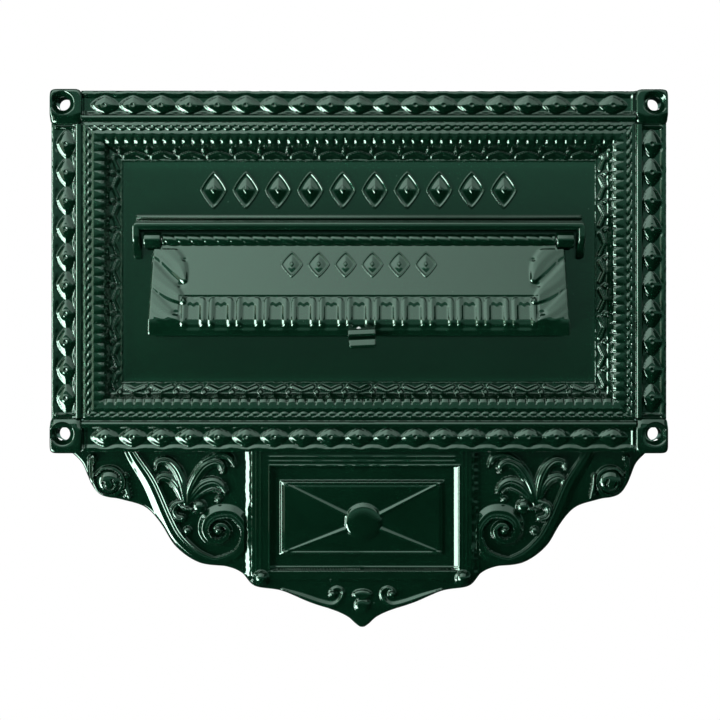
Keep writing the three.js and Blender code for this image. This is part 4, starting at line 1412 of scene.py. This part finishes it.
class LETTERPLATE_OT_stage(Operator):
    """Sets the floor, the soft studio lights, the pale surroundings and the camera"""
    bl_idname = "letter_plate.stage"
    bl_label = "Stage"

    def execute(self, context):
        studio = context.scene.letter_plate_studio
        self.surroundings(context)
        self.floor(studio)
        soft_light("softbox_overhead", (0, -1.15, 1.30), (0, 0, 0.03), (3.4, 1.7),
                   studio.overhead, WHITE, OVERHEAD_FADE)
        soft_light("softbox_low_left", (-0.64, -0.45, -0.44), (-0.05, 0, 0), (0.36, 0.36),
                   studio.side * 0.55)
        soft_light("softbox_strip_left", (-1.08, -0.42, -0.22), (0, 0, -0.05), (0.28, 1.10),
                   studio.side * 1.15)
        soft_light("softbox_wide_left", (-0.95, -0.75, 0.20), (0, 0, 0.05), (0.55, 0.9),
                   studio.side * 0.13, WARM)
        soft_light("softbox_back", (0.5, 1.6, 1.4), (0, 0, 0), (1.6, 1.2), 26)
        data = bpy.data.cameras.new("camera")
        camera = bpy.data.objects.new("camera", data)
        context.scene.collection.objects.link(camera)
        camera.location = (EYE_X, -studio.eye_distance, EYE_Z)
        camera.rotation_euler = (math.pi / 2, 0, 0)
        data.lens = studio.lens
        data.sensor_width = 36
        data.clip_start = 0.02
        data.clip_end = 50
        context.scene.camera = camera
        context.scene.view_settings.view_transform = "Standard"
        return {"FINISHED"}

    def surroundings(self, context):
        """White where the camera looks past the object, dim for light and reflections."""
        world = bpy.data.worlds.new("studio_surroundings")
        world.use_nodes = True
        world.node_tree.nodes.clear()
        nodes = Nodes(world.node_tree)
        place = nodes.node("ShaderNodeTexCoord", {}, {})
        up = nodes.axis(place.outputs["Generated"], "Z")
        stops = [(height, [level * tint for tint in ROOM_TINT]) for height, level in ROOM_BAND]
        band = nodes.node("ShaderNodeValToRGB", {"stops": stops}, {"Fac": up * 0.5 + 0.5})
        dim = nodes.node("ShaderNodeBackground", {}, {"Color": band.outputs["Color"]})
        white = nodes.node("ShaderNodeBackground", {}, {"Color": (*WHITE, 1)})
        ray = nodes.node("ShaderNodeLightPath", {}, {})
        mix = nodes.node("ShaderNodeMixShader", {}, {
            0: ray.outputs["Is Camera Ray"], 1: dim.outputs[0], 2: white.outputs[0]})
        nodes.node("ShaderNodeOutputWorld", {}, {"Surface": mix.outputs[0]})
        context.scene.world = world

    def floor(self, studio):
        """A round pale floor well below the plate."""
        mesh = bpy.data.meshes.new("floor")
        work = bmesh.new()
        bmesh.ops.create_circle(work, cap_ends=True, segments=96, radius=FLOOR_RADIUS)
        work.to_mesh(mesh)
        work.free()
        floor = bpy.data.objects.new("floor", mesh)
        bpy.context.scene.collection.objects.link(floor)
        floor.location = (0, 0, -studio.floor_drop)
        finish = Finish("floor_paper", {"Roughness": 0.9})
        grain = finish.noise(60, 5, 0.6)
        finish.feed(Base_Color=finish.mix(grain * 0.3, (0.86, 0.86, 0.85), (0.80, 0.80, 0.80)),
                    Normal=finish.bump(grain, 0.05, 0.001))
        mesh.materials.append(finish.material)
        floor.visible_glossy = False


class LETTERPLATE_PT_sidebar(Panel):
    """Lists the sizes, colours and building steps"""
    bl_label = "Letter Plate"
    bl_idname = "LETTERPLATE_PT_sidebar"
    bl_space_type = "VIEW_3D"
    bl_region_type = "UI"
    bl_category = "Letter Plate"

    def draw(self, context):
        looks = context.scene.letter_plate_looks
        studio = context.scene.letter_plate_studio
        for group in (looks, studio):
            for name in group.__annotations__:
                self.layout.prop(group, name)
        for step in STEPS:
            self.layout.operator(step.bl_idname)


STEPS = (
    LETTERPLATE_OT_stage, LETTERPLATE_OT_rails, LETTERPLATE_OT_blocks, LETTERPLATE_OT_field,
    LETTERPLATE_OT_crest, LETTERPLATE_OT_flap, LETTERPLATE_OT_hinge,
)
CLASSES = (LetterPlateLooks, LetterPlateStudio, *STEPS, LETTERPLATE_PT_sidebar)


def register():
    for kind in CLASSES:
        bpy.utils.register_class(kind)
    bpy.types.Scene.letter_plate_looks = PointerProperty(type=LetterPlateLooks)
    bpy.types.Scene.letter_plate_studio = PointerProperty(type=LetterPlateStudio)


def unregister():
    del bpy.types.Scene.letter_plate_studio
    del bpy.types.Scene.letter_plate_looks
    for kind in reversed(CLASSES):
        bpy.utils.unregister_class(kind)


def main():
    register()
    bpy.ops.letter_plate.stage()
    bpy.ops.letter_plate.rails()
    bpy.ops.letter_plate.blocks()
    bpy.ops.letter_plate.field()
    bpy.ops.letter_plate.crest()
    bpy.ops.letter_plate.flap()
    bpy.ops.letter_plate.hinge()


if __name__ == "__main__":
    main()
